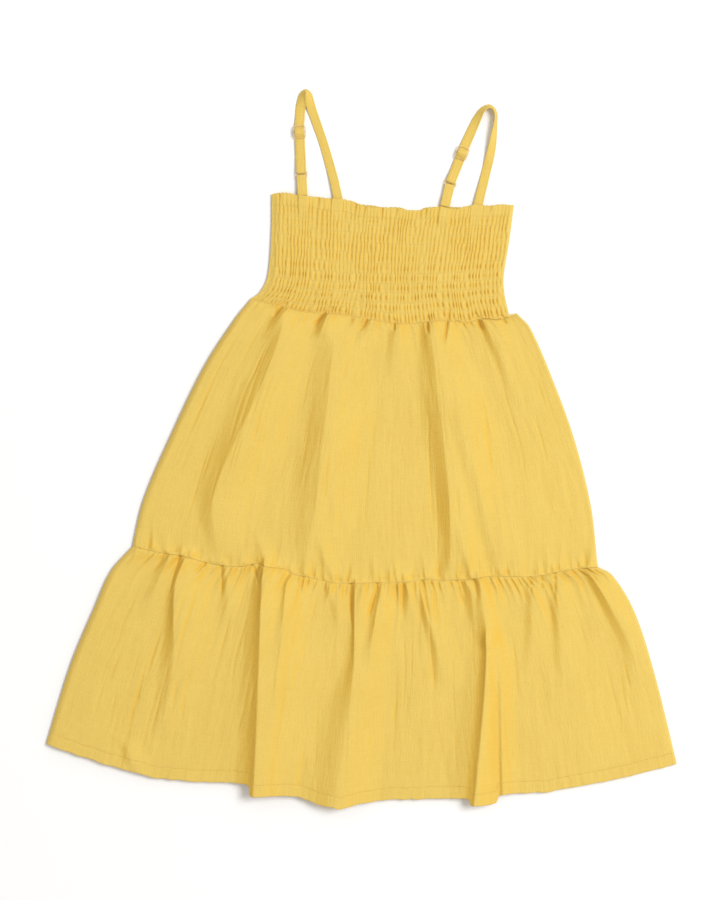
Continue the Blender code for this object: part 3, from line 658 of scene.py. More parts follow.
def blurred(values, reach):
    """Values averaged softly over their neighbours along each row of a panel."""
    kernel = np.exp(-(np.linspace(-2, 2, 2 * reach + 1) ** 2))
    kernel = kernel / kernel.sum()
    padded = np.pad(values, ((0, 0), (reach, reach)), mode="edge")
    total = np.zeros_like(values)
    for k, weight in enumerate(kernel):
        total += weight * padded[:, k : k + values.shape[1]]
    return total


def hollows(x, z):
    """How much painted shade each place gets, from 0 to 1: more deep in a fold or gather and on steep
    flanks.
    """
    spacing = np.abs(np.diff(x, axis=1)).mean()
    near = blurred(z, max(round(2.0 / spacing), 2)) - z
    far = blurred(z, round(11 / spacing)) - z
    steep = np.arctan2(np.abs(np.gradient(z, axis=1)), np.gradient(x, axis=1))
    depth = 0.65 * np.clip(near / 0.45, 0, 1) + 0.40 * np.clip(far / 2.2, 0, 1)
    return np.clip(depth + 0.85 * ease((steep - 0.08) / 0.65), 0, 1)


def finish_sheet(name, grid, rims, across, along, cut, material, painted_shade_strength=1.0):
    """Add the rims to a panel, and make its mesh with cloth coordinates for its weave and its share
    of painted shade.
    """
    x, y, z = with_rims(*grid, *rims)
    rim_step = 1.5
    down = along[:, 0] * cut[1]
    before = down[0] - rim_step * np.arange(len(rims[0]), 0, -1)
    after = down[-1] + rim_step * np.arange(1, len(rims[1]) + 1)
    grain = np.zeros((*x.shape, 3))
    grain[:, :, 0] = across[0] * cut[0]
    grain[:, :, 1] = np.concatenate([before, down, after])[:, None]
    from_side = np.minimum(across[0], 1 - across[0]) * cut[0]
    # Painted shade: each point's share of the warm fold tone, fading out towards the side edges
    hollow = painted_shade_strength * hollows(x, z) * ease(from_side / PAINTED_SHADE_FADE)
    points = np.stack([x, y, z], axis=-1).reshape(-1, 3)
    faces = grid_faces(*x.shape)
    return add_mesh(name, points, faces, material, grain=grain.reshape(-1, 3), hollow=hollow.ravel())


def surface_place(grid, column, row):
    """Points on a panel, between its grid's points."""
    last_row, last_column = grid[0].shape[0] - 2, grid[0].shape[1] - 2
    c = np.clip(np.floor(column).astype(int), 0, last_column)
    r = np.clip(np.floor(row).astype(int), 0, last_row)
    u = column - c
    v = row - r
    place = []
    for values in grid:
        upper = values[r, c] * (1 - u) + values[r, c + 1] * u
        lower = values[r + 1, c] * (1 - u) + values[r + 1, c + 1] * u
        place.append(upper * (1 - v) + lower * v)
    return np.stack(place, axis=-1)


def stitch_lines(grid, rows, stitch, pitch, lift, seed, steps=5):
    """Short lines along a row of a panel, each a stitch that arches a little over the cloth."""
    rng = np.random.default_rng(seed)
    columns = np.arange(grid[0].shape[1], dtype=float)
    spine = surface_place(grid, columns, rows)
    run = np.concatenate([[0], np.cumsum(np.linalg.norm(np.diff(spine[:, :2], axis=0), axis=1))])
    lines = []
    for start in np.arange(1.5, run[-1] - pitch, pitch):
        jitter = rng.uniform(-0.12, 0.12)
        at = np.linspace(start + jitter, start + jitter + stitch, steps)
        column = np.interp(at, run, columns)
        line = surface_place(grid, column, np.interp(column, columns, rows))
        line[:, 2] += lift + 0.12 * np.sin(np.linspace(0, math.pi, steps))
        lines.append(line)
    return lines


def make_threads(name, lines, radius, material, sides=5):
    """Many short threads in one mesh."""
    points = np.concatenate([bar_points(line, radius, radius, sides) for line in lines])
    faces = []
    first = 0
    for line in lines:
        faces += bar_faces(len(line), sides, first=first)
        first += len(line) * sides
    return add_mesh(name, points, faces, material, grain=points)


def hem_share(along):
    """How much of the hem's moves each row of the tier takes, from none to all at the hem."""
    return ease((along - 0.55) / 0.45)


def make_front_panel(name, sections, puff, gathers, columns, rows, rims, cut, material):
    """The skirt's or the tier's front, with the folds that run through both."""
    tier = sections is TIER
    across, along = panel_grid(columns, rows, EDGE_BIAS)
    x, y, width = panel_place(sections, across, along)
    if tier:
        y += seam_rise(TIER_SEAM, x) * ease(1 - along / 0.3)
        y += straight_column(HEM_EDGE, across) * hem_share(along)
        y += 0.45 * noise(across * 95, along * 0, 49) * ease((along - 0.85) / 0.15)
    else:
        y += seam_rise(WAIST_SEAM, x) * ease(1 - along / 0.15)
        y += seam_rise(TIER_SEAM, x) * ease((along - 0.8) / 0.2)
    fold_rise, shift = fold_relief(FRONT_FOLDS, x, y)
    up = edge_distance(x, y)
    down = up[0] - up
    seed = 40 if tier else 20
    relief = crinkle(across * cut[0], along * cut[1], seed)
    relief += fine_creases(across, along, width, 54 if tier else 40, seed + 1)
    for seam, *settings in gathers:
        relief += puckers(across, down if seam == "upper" else up, width, *settings)
    seam_distance = down if tier else np.minimum(down, up)
    if tier:
        hem = bell(up - HEM_DEPTH, 0.9)
        turned = ease((HEM_DEPTH - up) / 1.5)
        tug = noise(across * cut[0] / 3.4, up / 30, 48)
        relief = relief - 0.12 * hem + 0.10 * turned + 0.20 * tug * turned
    relief *= ease((seam_distance + 1.6) / 4.5)
    if tier:
        relief += nicks(TIER_NICKS, x, down, reach=1.0, depth=1.7, leaning=-0.6)
    else:
        relief += carried_flutes(across, down, 50)
        relief += nicks(WAIST_NICKS, x, down, reach=1.0, depth=2.4, leaning=-0.6)
    relief += 0.35 * noise(x / 9, x * 0, 47) * faded(seam_distance, 14)
    left_side = across * width
    right_side = (1 - across) * width
    rounding = side_profile(left_side, SKIRT_ROLL[0]) * side_profile(right_side, SKIRT_ROLL[1])
    z = FRONT_TOP + (straight_column(puff, along) + fold_rise + relief) * rounding
    z -= 0.9 * faded(np.minimum(left_side, right_side), 1.6)
    sunk = 0.28 + 0.14 * noise(x / 12, x * 0, 51) if tier else 0.3
    z -= sunk * faded(down, 2.2)
    if not tier:
        z -= 0.15 * faded(up, 1.6)
    grid = (x + shift * rounding, y, np.maximum(z, FRONT_LOWEST))
    return finish_sheet(name, grid, rims, across, along, cut, material), grid


def make_back_panel(name, sections, columns, rows, rims, cut, material, seed):
    """A back panel, pressed flat on the surface by the cloth above it."""
    tier = sections is TIER
    across, along = panel_grid(columns, rows, EDGE_BIAS)
    x, y, width = panel_place(sections, across, along)
    from_side = np.minimum(across, 1 - across) * width
    if tier:
        shift = np.maximum(straight_column(HEM_EDGE, across), -BACK_HEM_LIFT) + BACK_HEM_LIFT
        y += shift * ease(from_side / SIDE_ROUNDING) * hem_share(along)
    down = along * (TIER_DROP if tier else SKIRT_DROP)
    relief = 0.5 * crinkle(across * cut[0], along * cut[1], seed)
    relief += puckers(across, down, width, 60, seed + 1, (0.3, 0.8), (10, 60), (1.6, 3.8))
    z = BACK_MIDDLE + BACK_RELIEF * np.tanh(relief)
    z += (BACK_EDGE - z) * faded(from_side, BACK_ROLL)
    return finish_sheet(name, (x, y, z), rims, across, along, cut, material)


def stepped(row):
    """Row numbers that hold still between two elastic rows and change quickly at each."""
    whole = np.floor(row + 0.5)
    return whole + ease((row - whole) / 0.34 + 0.5)


def shirring_row(along):
    """The number of elastic rows passed, which is whole at each row."""
    return (along - HEADER_SHARE) / (1 - HEADER_SHARE) * ELASTIC_ROWS


def flute_phase(across, along, seed):
    """The shirring's gathers: uneven in width, wandering, and shifted at each elastic row."""
    row = stepped(shirring_row(along))
    jitter = 0.22 + 0.12 * ease((along - 0.35) / 0.3)
    uneven = 0.60 * noise(across * 17, along * 1.3, seed)
    uneven += 0.25 * noise(across * 41, along * 3, seed + 1)
    uneven += jitter * noise(across * 43, row, seed + 6)
    return 2 * math.pi * (FLUTES * across + uneven)


def carried_flutes(across, down, seed):
    """The last shirring row's gathers, as they run out into the skirt."""
    phase = flute_phase(across, across * 0 + 1, seed)
    flute = (0.5 - 0.5 * np.cos(phase)) ** 0.8
    reach = 7 + 5 * noise(across * 23, across * 0, seed + 9)
    size = 0.65 + 0.35 * noise(across * 31, across * 0, seed + 10)
    return flute * size * faded(down, reach)


def band_mask(across, bands, soft):
    """1 over the places where a strap lies under the header, and 0 beside them."""
    mask = np.zeros_like(across)
    for low, high in bands:
        band = ease((across - low) / soft + 0.5) * ease((high - across) / soft + 0.5)
        mask = np.maximum(mask, band)
    return mask


def shirring_relief(across, along, seed):
    """Upright flutes pinched along each row of elastic, loose above the first row."""
    phase = flute_phase(across, along, seed)
    flute = (0.5 - 0.5 * np.cos(phase)) ** 0.7
    valley = (0.5 + 0.5 * np.cos(phase)) ** 5
    row = shirring_row(along)
    sag = 0.10 * noise(across * 30, row * 0.9, seed + 2)
    puff = 0.5 - 0.5 * np.cos(2 * math.pi * (row + sag))
    patch = 0.66 + 0.30 * noise(across * 9, along * 5, seed + 11)
    vary = patch * (1 + 0.45 * noise(across * 34, row * 1.1, seed + 3))
    clear = ease((along - 0.40) / 0.30) * (0.45 + 0.55 * ease((across - 0.35) / 0.4))
    clear = np.maximum(clear, 0.55 * ease((along - 0.5) / 0.3))
    depth = 1.0 - (0.20 + 0.45 * clear) * (1 - puff)
    pick = 0.55 + 0.75 * noise(across * FLUTES, stepped(row), seed + 12)
    pits = valley * puff**1.5 * np.clip(pick, 0, 1) * (0.45 + 0.55 * clear)
    strong = 1.0 + 0.15 * clear
    shirred = strong * flute * depth * vary + (0.05 + 0.08 * clear) * puff - 1.35 * pits
    shirred += 0.22 * noise(across * 15, along * 7, seed + 8)
    loose = noise(across * 21, along * 3, seed + 4)
    up = np.clip(1 - along / HEADER_SHARE, 0, 1)
    header = 0.80 * flute * vary * (1 - 0.6 * up) + 0.6 * loose * up + 0.40
    return header + (shirred - header) * ease((along - HEADER_SHARE) / 0.03 + 0.5)


def nicks(places, x, distance, reach, depth, leaning):
    """Narrow little pleats where a few of a seam's gathers meet it."""
    total = np.zeros_like(x)
    for place, lean, size, run in places:
        offset = x - place - leaning * lean * distance
        half = 0.8 + 0.55 * size
        fade = 1 - ease(2 * distance / (reach * run) - 1)
        total -= depth * size * bell(offset, half) * fade
    return total


def header_darts(across, along, seed):
    """A few short pinches that run down from the header's edge."""
    total = np.zeros_like(across)
    rng = np.random.default_rng(seed)
    for place in HEADER_DARTS:
        drift = rng.uniform(-0.04, 0.04)
        size = rng.uniform(0.9, 1.5)
        offset = (across - place - drift * along) * BODICE_WIDTH
        total -= size * bell(offset, 1.1) * faded(along, 0.14) * ease(along / 0.012 + 0.3)
    return total


def bodice_plan(across, along, seed, header_moves, seam_moves):
    """Plan positions on the shirred bodice, with its ruffled upper edge, and its width there."""
    x, y, width = panel_place(BODICE, across, along)
    inland = ease(np.minimum(across, 1 - across) * width / 6)
    y += straight_column(header_moves, across) * ease(1 - along / 0.3)
    y += seam_rise(seam_moves, x) * ease((along - 0.7) / 0.3)
    up = np.clip(1 - along / HEADER_SHARE, 0, 1)
    frill = 0.24 + 0.16 * noise(across * 13, along * 0, seed + 14)
    ruffle = frill * np.cos(flute_phase(across, along, seed))
    ruffle += 1.0 * noise(across * 19, along * 0, seed + 5)
    low = ease((along - 0.93) / 0.07)
    y += 0.9 * noise(across * 33, along * 0, seed + 13) * low * inland
    return x, y + ruffle * up * inland, width


def make_bodice_front(name, columns, rows, rims, cut, material, seed=50):
    """The shirred front, a little thicker where the straps lie under its header."""
    across, along = panel_grid(columns, rows)
    x, y, width = bodice_plan(across, along, seed, HEADER_EDGE, WAIST_SEAM)
    rounding = ease((across * width + 1.2) / BODICE_ROLL[0])
    rounding *= side_profile((1 - across) * width, BODICE_ROLL[1])
    relief = shirring_relief(across, along, seed)
    strap_mask = band_mask(across, STRAP_BANDS, 0.008) * faded(along - 0.10, 0.12)
    tab_mask = band_mask(across, TAB_BANDS, 0.010) * faded(along - 0.12, 0.10)
    relief += (0.9 - relief) * 0.75 * strap_mask
    relief += tab_mask
    relief += header_darts(across, along, seed + 9) * (1 - strap_mask)
    relief += 0.35 * noise(across * 6, along * 3, seed + 8)
    up = edge_distance(x, y)
    relief += nicks(WAIST_NICKS, x, up, reach=0.55, depth=1.6, leaning=1.0)
    room = STRAP_ROOM * (1 - 0.9 * ease((along - 0.4) / 0.6))
    edge = 0.5
    z = FRONT_FLOOR + edge + (room + SHIRRED_WALL - edge + relief) * rounding
    z -= 0.2 * faded(up, 1.6)
    grid = (x, y, np.maximum(z, FRONT_LOWEST))
    # Painted shade on the shirring at a little over half strength
    return finish_sheet(name, grid, rims, across, along, cut, material, 0.55), grid


def make_bodice_back(name, columns, rows, rims, cut, material, seed=70):
    """The shirred back, pressed flat on the surface."""
    across, along = panel_grid(columns, rows)
    x, y, width = bodice_plan(across, along, seed, BACK_HEADER_EDGE, EVEN_SEAM)
    from_side = np.minimum(across, 1 - across) * width
    z = np.clip(0.3 + 0.5 * shirring_relief(across, along, seed), LOWEST, 1.4)
    z += (BODICE_BACK_EDGE - z) * faded(from_side, BACK_ROLL)
    return finish_sheet(name, (x, y, z), rims, across, along, cut, material)


def ribbon_place(x, y, lift, azimuth, tilt):
    """Where the ribbon's middle is at one point of its path, and which way its width runs."""
    azimuth = math.radians(azimuth)
    tilt = math.radians(tilt)
    flat = math.cos(tilt)
    width = Vector((math.cos(azimuth) * flat, math.sin(azimuth) * flat, math.sin(tilt)))
    height = RIBBON_WIDTH / 2 * abs(math.sin(tilt)) + RIBBON_WALL / 2 * math.cos(tilt) + lift
    return Vector((x, y, height)), width


def ribbon_profile():
    """The ribbon's outline, with soft edges and a stitched groove near each."""
    half = RIBBON_SEEN / 2
    edge = [(0, 0), (0.12, 0.42), (0.35, 0.72), (0.8, 0.95), (1.15, 0.74), (1.4, 0.70), (1.7, 0.88)]
    left = [(inset - half, height) for inset, height in edge] + [(-1.6, 0.98)]
    upper = left + [(0.0, 1.0)] + [(-place, height) for place, height in reversed(left)]
    upper = [(place, RIBBON_WALL / 2 * height) for place, height in upper]
    return upper + [(place, -height) for place, height in upper[-2:0:-1]]


def make_ribbon(name, path, seed, material, narrowing=((0, 1), (1, 1))):
    """A narrow self-cloth ribbon along its path, a little uneven, with its frames and length."""
    samples_each = 60
    window = 25
    unevenness = 0.10
    grain_shift = 20
    coarse = np.linspace(0, len(path) - 1, samples_each * (len(path) - 1))
    columns = [smooth_column(range(len(path)), column, coarse) for column in zip(*path)]
    steps = np.sqrt(sum(np.diff(column) ** 2 for column in columns[:3]))
    length = np.concatenate([[0], np.cumsum(steps)])
    count = int(length[-1] / RIBBON_STEP)
    even = np.interp(np.linspace(0, length[-1], count), length, np.arange(len(coarse)))
    columns = [np.interp(even, np.arange(len(coarse)), column) for column in columns]
    samples = [ribbon_place(*place) for place in zip(*columns)]
    rng = np.random.default_rng(seed)
    draws = rng.uniform(-1, 1, count + window - 1)
    wobble = np.convolve(draws, np.ones(window) / window, "valid")
    profile = ribbon_profile()
    points = []
    grain = []
    frames = []
    for i, (centre, width) in enumerate(samples):
        before = samples[max(i - 1, 0)][0]
        after = samples[min(i + 1, count - 1)][0]
        forward = (after - before).normalized()
        side = (width - forward * width.dot(forward)).normalized()
        up = side.cross(forward)
        frames.append((centre, side, up))
        narrow = (1 + unevenness * wobble[i]) * float(straight_column(narrowing, i / count))
        for a, b in profile:
            points.append(centre + side * a * narrow + up * b)
            grain.append((a + grain_shift, i * RIBBON_STEP, b))
    obj = add_mesh(name, points, bar_faces(count, len(profile)), material, grain=grain)
    obj.data.validate()
    return obj, frames, length[-1]


def leg_point(ring, heading, distance, lift):
    """A point of a ribbon's path on the straight line through its ring."""
    angle = math.radians(heading)
    x = ring[0] + distance * math.cos(angle)
    y = ring[1] + distance * math.sin(angle)
    return x, y, lift, heading - 90, 0


def loop_round_bar(bar, side):
    """The distances and lifts of a ribbon's turn round a ring's bar."""
    angles = [math.radians(degrees) for degrees in (-90, -45, 0, 45, 90)]
    return [
        (bar - side * LOOP_RADIUS * math.cos(angle), LOOP_RADIUS * (1 + math.sin(angle)))
        for angle in angles
    ]


def strap_path(side):
    """Up from behind the slider's middle bar, round the ring, and through the slider to the top."""
    slider = side.slider
    under = SLIDER_HEIGHT - LOOP_RADIUS - RIBBON_WALL / 2
    over = SLIDER_HEIGHT + LOOP_RADIUS - RIBBON_WALL / 2
    upper_layer = RIBBON_WALL + GAP
    bar = RING_BAR_SPACING / 2
    leg = [
        (slider + 0.6, 1.0), (slider - SLIDER_BAR_SPACING, 0.0), (0.5 * slider, 0.0),
        (bar + 3.0, 0.0), *loop_round_bar(bar, 1),
        (bar + 4.0, LOOP_RADIUS + 1.0), (0.45 * slider, upper_layer + 0.1),
        (slider - 1.8 * SLIDER_BAR_SPACING, upper_layer), (slider - SLIDER_BAR_SPACING, under),
        (slider, over), (slider + SLIDER_BAR_SPACING, under),
    ]
    return [leg_point(side.ring, side.heading, *place) for place in leg] + side.top


def tab_path(side):
    """Up from under the header, round the ring's lower bar, and back down to the header."""
    bar = -RING_BAR_SPACING / 2
    low = -side.tab_length
    seated = FRONT_FLOOR
    above = RIBBON_WALL + GAP
    leg = [
        (low - 9.0, seated), (low - 1.0, seated), (low + 4.0, 0.9 * seated), (bar - 5.0, 0.2),
        *loop_round_bar(bar, -1),
        (bar - 5.0, LOOP_RADIUS + above - 0.2), (low + 4.0, 0.9 * seated + above + 0.1),
        (low - 1.6, seated + above),
    ]
    return [leg_point(side.ring, side.tab_heading, *place) for place in leg]


def rounded_frame(width, length, radius, steps=8):
    """The centreline of a frame with rounded corners, as points in its own plane."""
    path = []
    for corner, (sx, sy) in enumerate(((1, 1), (-1, 1), (-1, -1), (1, -1))):
        x = sx * (width / 2 - radius)
        y = sy * (length / 2 - radius)
        for step in range(steps + 1):
            angle = math.radians(90 * corner + 90 * step / steps)
            path.append((x + radius * math.cos(angle), y + radius * math.sin(angle), 0))
    return path


def make_hardware(name, side, distance, height, length, middle_bar, material, sides=12):
    """A small frame of round bars for the ribbon, with or without a bar across its middle."""
    radius = BAR_SEEN / 2
    outline = rounded_frame(HARDWARE_WIDTH - BAR_SEEN, length - BAR, CORNER_RADIUS)
    points = bar_points(outline, radius, radius * FRAME_FLATNESS, sides, True)
    faces = bar_faces(len(outline), sides, True)
    if middle_bar:
        half = HARDWARE_WIDTH / 2 - BAR_SEEN / 2
        line = [(x, 0, 0) for x in np.linspace(-half, half, 12)]
        wide, thick = (radius * share for share in MIDDLE_BAR_FLATNESS)
        faces += bar_faces(len(line), sides, first=len(points))
        points = np.vstack([points, bar_points(line, wide, thick, sides)])
    place = leg_point(side.ring, side.heading, distance, height)
    turn = math.radians(side.heading - 90)
    turned = np.column_stack([
        points[:, 0] * math.cos(turn) - points[:, 1] * math.sin(turn),
        points[:, 0] * math.sin(turn) + points[:, 1] * math.cos(turn),
        points[:, 2],
    ])
    return add_mesh(name, turned + place[:3], faces, material, "trim")


def ribbon_stitches(frames, offset, spacing=4, stitch=3):
    """Short stitches along one edge of a ribbon, in places along its own frames."""
    lines = []
    height = RIBBON_WALL / 2 * GROOVE_HEIGHT
    for start in range(3, len(frames) - spacing - 3, spacing):
        line = []
        for k in range(stitch + 1):
            centre, side, up = frames[start + k]
            arch = height + 0.10 * math.sin(math.pi * k / stitch)
            line.append(centre + side * offset + up * arch)
        lines.append([tuple(point) for point in line])
    return lines


def new_material(name):
    """A material with its node tree and its shader."""
    material = bpy.data.materials.new(name)
    material.use_nodes = True
    tree = material.node_tree
    return material, tree, tree.nodes["Principled BSDF"]


def set_inputs(tree, node, inputs):
    """Set each of a node's inputs to a plain value, or link it to another node's output."""
    for name, value in inputs.items():
        if isinstance(value, bpy.types.NodeSocket):
            tree.links.new(value, node.inputs[name])
        else:
            node.inputs[name].default_value = value


def new_node(tree, kind, inputs, **settings):
    """A node with its settings and its inputs."""
    node = tree.nodes.new(kind)
    for name, value in settings.items():
        setattr(node, name, value)
    set_inputs(tree, node, inputs)
    return node


def maths(tree, operation, *values):
    return new_node(tree, "ShaderNodeMath", dict(enumerate(values)), operation=operation).outputs[0]


def plus(tree, first, second):
    return maths(tree, "ADD", first, second)


def times(tree, first, second):
    return maths(tree, "MULTIPLY", first, second)


def mixed(tree, factor, first, second, blend="MIX"):
    inputs = {"Factor": factor, "A": first, "B": second}
    mix = new_node(tree, "ShaderNodeMix", inputs, data_type="RGBA", blend_type=blend)
    return mix.outputs["Result"]


def noise_node(tree, vector, stretch, detail=2.0, roughness=0.5):
    """Noise on coordinates in millimetres, stretched by its size along each axis."""
    scale = [1 / size for size in stretch]
    mapping = new_node(tree, "ShaderNodeMapping", {"Scale": scale, "Vector": vector})
    inputs = {"Scale": 1.0, "Detail": detail, "Roughness": roughness, "Vector": mapping.outputs[0]}
    return new_node(tree, "ShaderNodeTexNoise", inputs).outputs[0]


def cloth_material(name, light, dark, weave):
    """Crinkled cotton gauze: a plain weave with slubs, in two close tones, with painted shade in its
    folds where the mesh carries it.
    """
    material, tree, shader = new_material(name)
    where = new_node(tree, "ShaderNodeAttribute", {}, attribute_name="grain").outputs["Vector"]
    split = new_node(tree, "ShaderNodeSeparateXYZ", {0: where})
    warp = maths(tree, "SINE", times(tree, split.outputs[0], 2 * math.pi / weave))
    weft = maths(tree, "SINE", times(tree, split.outputs[1], 2 * math.pi / weave))
    threads = times(tree, warp, weft)
    upright = noise_node(tree, where, (0.95, 17.0, 5.0))
    level = noise_node(tree, where, (15.0, 0.95, 5.0))
    slubs = plus(tree, upright, times(tree, level, 0.8))
    crease = noise_node(tree, where, (1.8, 9.0, 5.0), detail=3.0, roughness=0.6)
    tone = noise_node(tree, where, (26.0, 42.0, 20.0), detail=3.0, roughness=0.6)
    height = plus(tree, times(tree, threads, 0.10), slubs)
    height = plus(tree, height, times(tree, crease, 1.3))
    inputs = {"Strength": 0.7, "Distance": 0.00045, "Height": height}
    bump = new_node(tree, "ShaderNodeBump", inputs)
    share = plus(tree, times(tree, slubs, 0.55), times(tree, tone, 0.5))
    share = plus(tree, share, times(tree, threads, 0.12))
    inputs = {"From Min": 0.45, "From Max": 1.10, "Value": share}
    spread = new_node(tree, "ShaderNodeMapRange", inputs)
    ramp = mixed(tree, spread.outputs[0], dark, light)
    # Painted shade: the base colour is multiplied towards the warm tone by each point's share of it
    hollow = new_node(tree, "ShaderNodeAttribute", {}, attribute_name="hollow")
    set_inputs(tree, shader, {
        "Base Color": mixed(tree, hollow.outputs["Fac"], ramp, PAINTED_SHADE_TONE, "MULTIPLY"),
        "Normal": bump.outputs[0],
        "Roughness": 0.92,
        "Specular IOR Level": 0.18,
        "Sheen Weight": 0.12,
        "Sheen Roughness": 0.5,
        "Sheen Tint": (1.0, 0.93, 0.72, 1),
    })
    return material


def trim_material(name):
    """Coated slider and ring: smooth and even, with faint wear."""
    material, tree, shader = new_material(name)
    place = new_node(tree, "ShaderNodeTexCoord", {}).outputs["Object"]
    inputs = {"Scale": 900, "Detail": 3, "Vector": place}
    scuff = new_node(tree, "ShaderNodeTexNoise", inputs).outputs[0]
    rough = new_node(tree, "ShaderNodeMapRange", {"To Min": 0.25, "To Max": 0.45, "Value": scuff})
    set_inputs(tree, shader, {
        "Base Color": mixed(tree, scuff, TRIM_DARK, TRIM_LIGHT),
        "Roughness": rough.outputs[0],
        "Transmission Weight": 0.45,
        "IOR": 1.45,
    })
    return material


def add_stage():
    """The plain pale floor."""
    reach = 6.0
    drop = 0.0002
    corners = [(-reach, -reach, 0), (reach, -reach, 0), (reach, reach, 0), (-reach, reach, 0)]
    mesh = bpy.data.meshes.new("floor")
    mesh.from_pydata(corners, [], [(0, 1, 2, 3)])
    floor = bpy.data.objects.new("floor", mesh)
    floor.location.z = -drop
    bpy.context.scene.collection.objects.link(floor)
    material, tree, shader = new_material("floor_paper")
    inputs = {"Base Color": (0.93, 0.93, 0.93, 1), "Roughness": 0.9, "Specular IOR Level": 0.1}
    set_inputs(tree, shader, inputs)
    mesh.materials.append(material)


def add_light_and_camera():
    """One soft key light from the upper right, a pale sky, and the camera straight above."""
    scene = bpy.context.scene
    world = bpy.data.worlds.new("studio")
    world.use_nodes = True
    background = world.node_tree.nodes["Background"]
    background.inputs["Color"].default_value = SKY_COLOUR
    background.inputs["Strength"].default_value = SKY_STRENGTH
    scene.world = world

    lamp = bpy.data.lights.new("key", "AREA")
    lamp.shape = "RECTANGLE"
    lamp.size = KEY_SIZE
    lamp.size_y = KEY_SIZE
    elevation = math.radians(KEY_ELEVATION)
    azimuth = math.radians(KEY_AZIMUTH)
    flat = math.cos(elevation)
    aim = Vector((math.cos(azimuth) * flat, math.sin(azimuth) * flat, math.sin(elevation)))
    lamp.energy = KEY_STRENGTH * math.pi**2 * KEY_DISTANCE**2 / math.sin(elevation)
    lamp.color = KEY_COLOUR
    key = bpy.data.objects.new("key", lamp)
    key.location = aim * KEY_DISTANCE
    key.rotation_euler = aim.to_track_quat("Z", "Y").to_euler()
    scene.collection.objects.link(key)

    camera_data = bpy.data.cameras.new("camera")
    camera_data.lens = LENS
    camera_data.sensor_width = SENSOR
    camera_data.clip_end = 20
    camera = bpy.data.objects.new("camera", camera_data)
    camera.location = (*FRAME_CENTRE, FRAME_HEIGHT * LENS / SENSOR)
    scene.collection.objects.link(camera)
    scene.camera = camera
    scene.view_settings.view_transform = "Standard"


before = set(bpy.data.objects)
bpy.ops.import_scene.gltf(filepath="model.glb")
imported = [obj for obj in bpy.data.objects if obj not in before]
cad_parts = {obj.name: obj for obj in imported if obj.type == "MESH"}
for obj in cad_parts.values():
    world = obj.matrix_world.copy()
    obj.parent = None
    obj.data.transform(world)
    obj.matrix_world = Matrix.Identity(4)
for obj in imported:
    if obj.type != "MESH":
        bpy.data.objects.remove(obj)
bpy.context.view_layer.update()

gauze = cloth_material("gauze", CLOTH_LIGHT, CLOTH_DARK, CLOTH_WEAVE)
trim = trim_material("coated_trim")
thread = cloth_material("thread", THREAD_LIGHT, THREAD_DARK, THREAD_WEAVE)

tier_front, tier_grid = make_front_panel(
    "tier_cloth_front", TIER, TIER_PUFF, TIER_GATHERS,
    columns=601, rows=154, rims=(TUCKED, TURNED_UNDER), cut=TIER_CUT, material=gauze,
)
skirt_front, _ = make_front_panel(
    "skirt_cloth_front", SKIRT, SKIRT_PUFF, SKIRT_GATHERS,
    columns=501, rows=180, rims=(TUCKED, SEAM_LIP), cut=SKIRT_CUT, material=gauze,
)
bodice_front, bodice_grid = make_bodice_front(
    "bodice_shirred_front", BODICE_COLUMNS, BODICE_ROWS, (HEADER_RIM, SEAM_LIP), BODICE_CUT, gauze
)
tier_back = make_back_panel(
    "tier_cloth_back", TIER, columns=261, rows=90, rims=(SEAM_BACK, TURNED_BACK),
    cut=TIER_CUT, material=gauze, seed=80,
)
skirt_back = make_back_panel(
    "skirt_cloth_back", SKIRT, columns=221, rows=110, rims=(SEAM_BACK, SEAM_BACK),
    cut=SKIRT_CUT, material=gauze, seed=90,
)
bodice_back = make_bodice_back(
    "bodice_shirred_back", columns=421, rows=90, rims=(TURNED_BACK, SEAM_BACK),
    cut=BODICE_BACK_CUT, material=gauze,
)

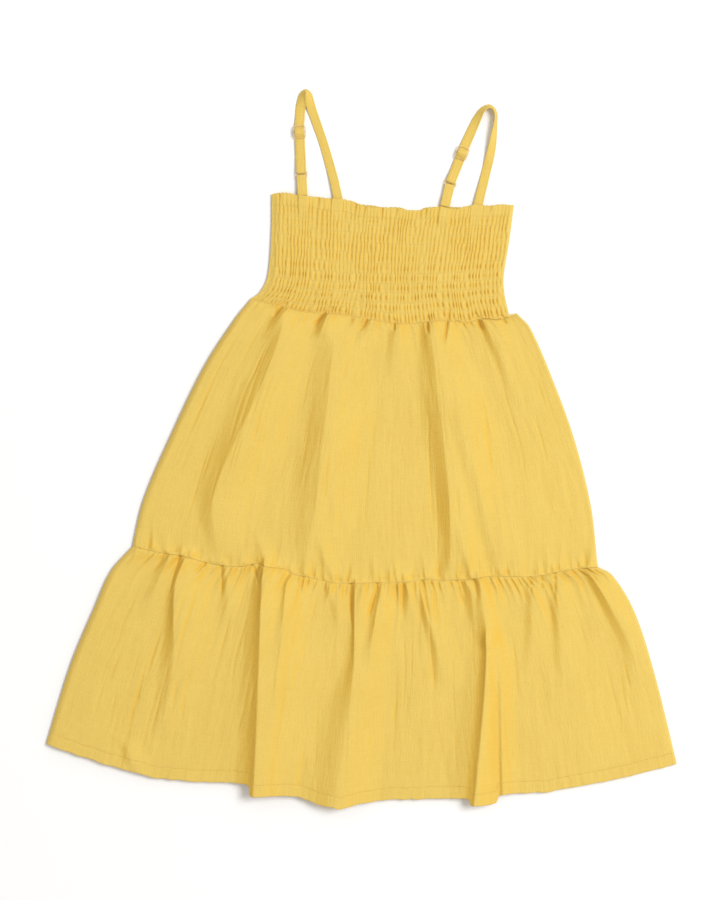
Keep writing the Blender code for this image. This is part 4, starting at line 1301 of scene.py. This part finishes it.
hem_rows = np.array([
    np.interp(-HEM_DEPTH, -distance, np.arange(len(distance)))
    for distance in edge_distance(*tier_grid[:2]).T
])
hem_lines = stitch_lines(tier_grid, hem_rows, stitch=2.3, pitch=3.0, lift=0.12, seed=61)
hem_stitches = make_threads("hem_stitches", hem_lines, radius=0.19, material=thread)
shirring_lines = []
for row in range(ELASTIC_ROWS + 1):
    along = HEADER_SHARE + (1 - HEADER_SHARE) * row / ELASTIC_ROWS
    index = min(along * (BODICE_ROWS - 1), BODICE_ROWS - 3.5)
    rows = np.full(BODICE_COLUMNS, index)
    shirring_lines += stitch_lines(
        bodice_grid, rows, stitch=2.5, pitch=3.3, lift=0.06, seed=62 + row, steps=7
    )
shirring_threads = make_threads("shirring_threads", shirring_lines, radius=0.15, material=thread)

for sheet, node, cut, rests_on, stitching in (
    (tier_front, "tier_front", TIER_CUT, "tier_back", [hem_stitches]),
    (skirt_front, "skirt_front", SKIRT_CUT, "skirt_back", []),
    (bodice_front, "bodice_front", BODICE_CUT, "bodice_back", [shirring_threads]),
    (tier_back, "tier_back", TIER_CUT, "floor", []),
    (skirt_back, "skirt_back", SKIRT_CUT, "floor", []),
    (bodice_back, "bodice_back", BODICE_BACK_CUT, "floor", []),
):
    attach(sheet, "root")
    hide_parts(node)
    for piece in stitching:
        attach(piece, "root")

for side in SIDES:
    strap, frames, strap_length = make_ribbon(
        f"strap_ribbon_{side.name}", strap_path(side), side.seed, gauze, side.narrowing
    )
    tab, _, tab_length = make_ribbon(
        f"strap_tab_ribbon_{side.name}", tab_path(side), side.seed + 1, gauze
    )
    ring = make_hardware(
        f"strap_ring_bar_{side.name}", side, 0.0, RING_HEIGHT, RING_BAR_SPACING + BAR, False, trim
    )
    slider = make_hardware(
        f"strap_slider_bar_{side.name}", side, side.slider, SLIDER_HEIGHT,
        2 * SLIDER_BAR_SPACING + BAR, True, trim,
    )
    lines = ribbon_stitches(frames, RIBBON_SEEN / 2 - STITCH_INSET)
    lines += ribbon_stitches(frames, STITCH_INSET - RIBBON_SEEN / 2)
    stitches = make_threads(f"strap_stitches_{side.name}", lines, radius=0.17, material=thread)
    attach(stitches, "root")
    for piece, kind in ((strap, ""), (tab, "tab_"), (ring, "ring_"), (slider, "slider_")):
        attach(piece, "root")
        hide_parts(f"strap_{kind}{side.name}")

add_stage()
add_light_and_camera()
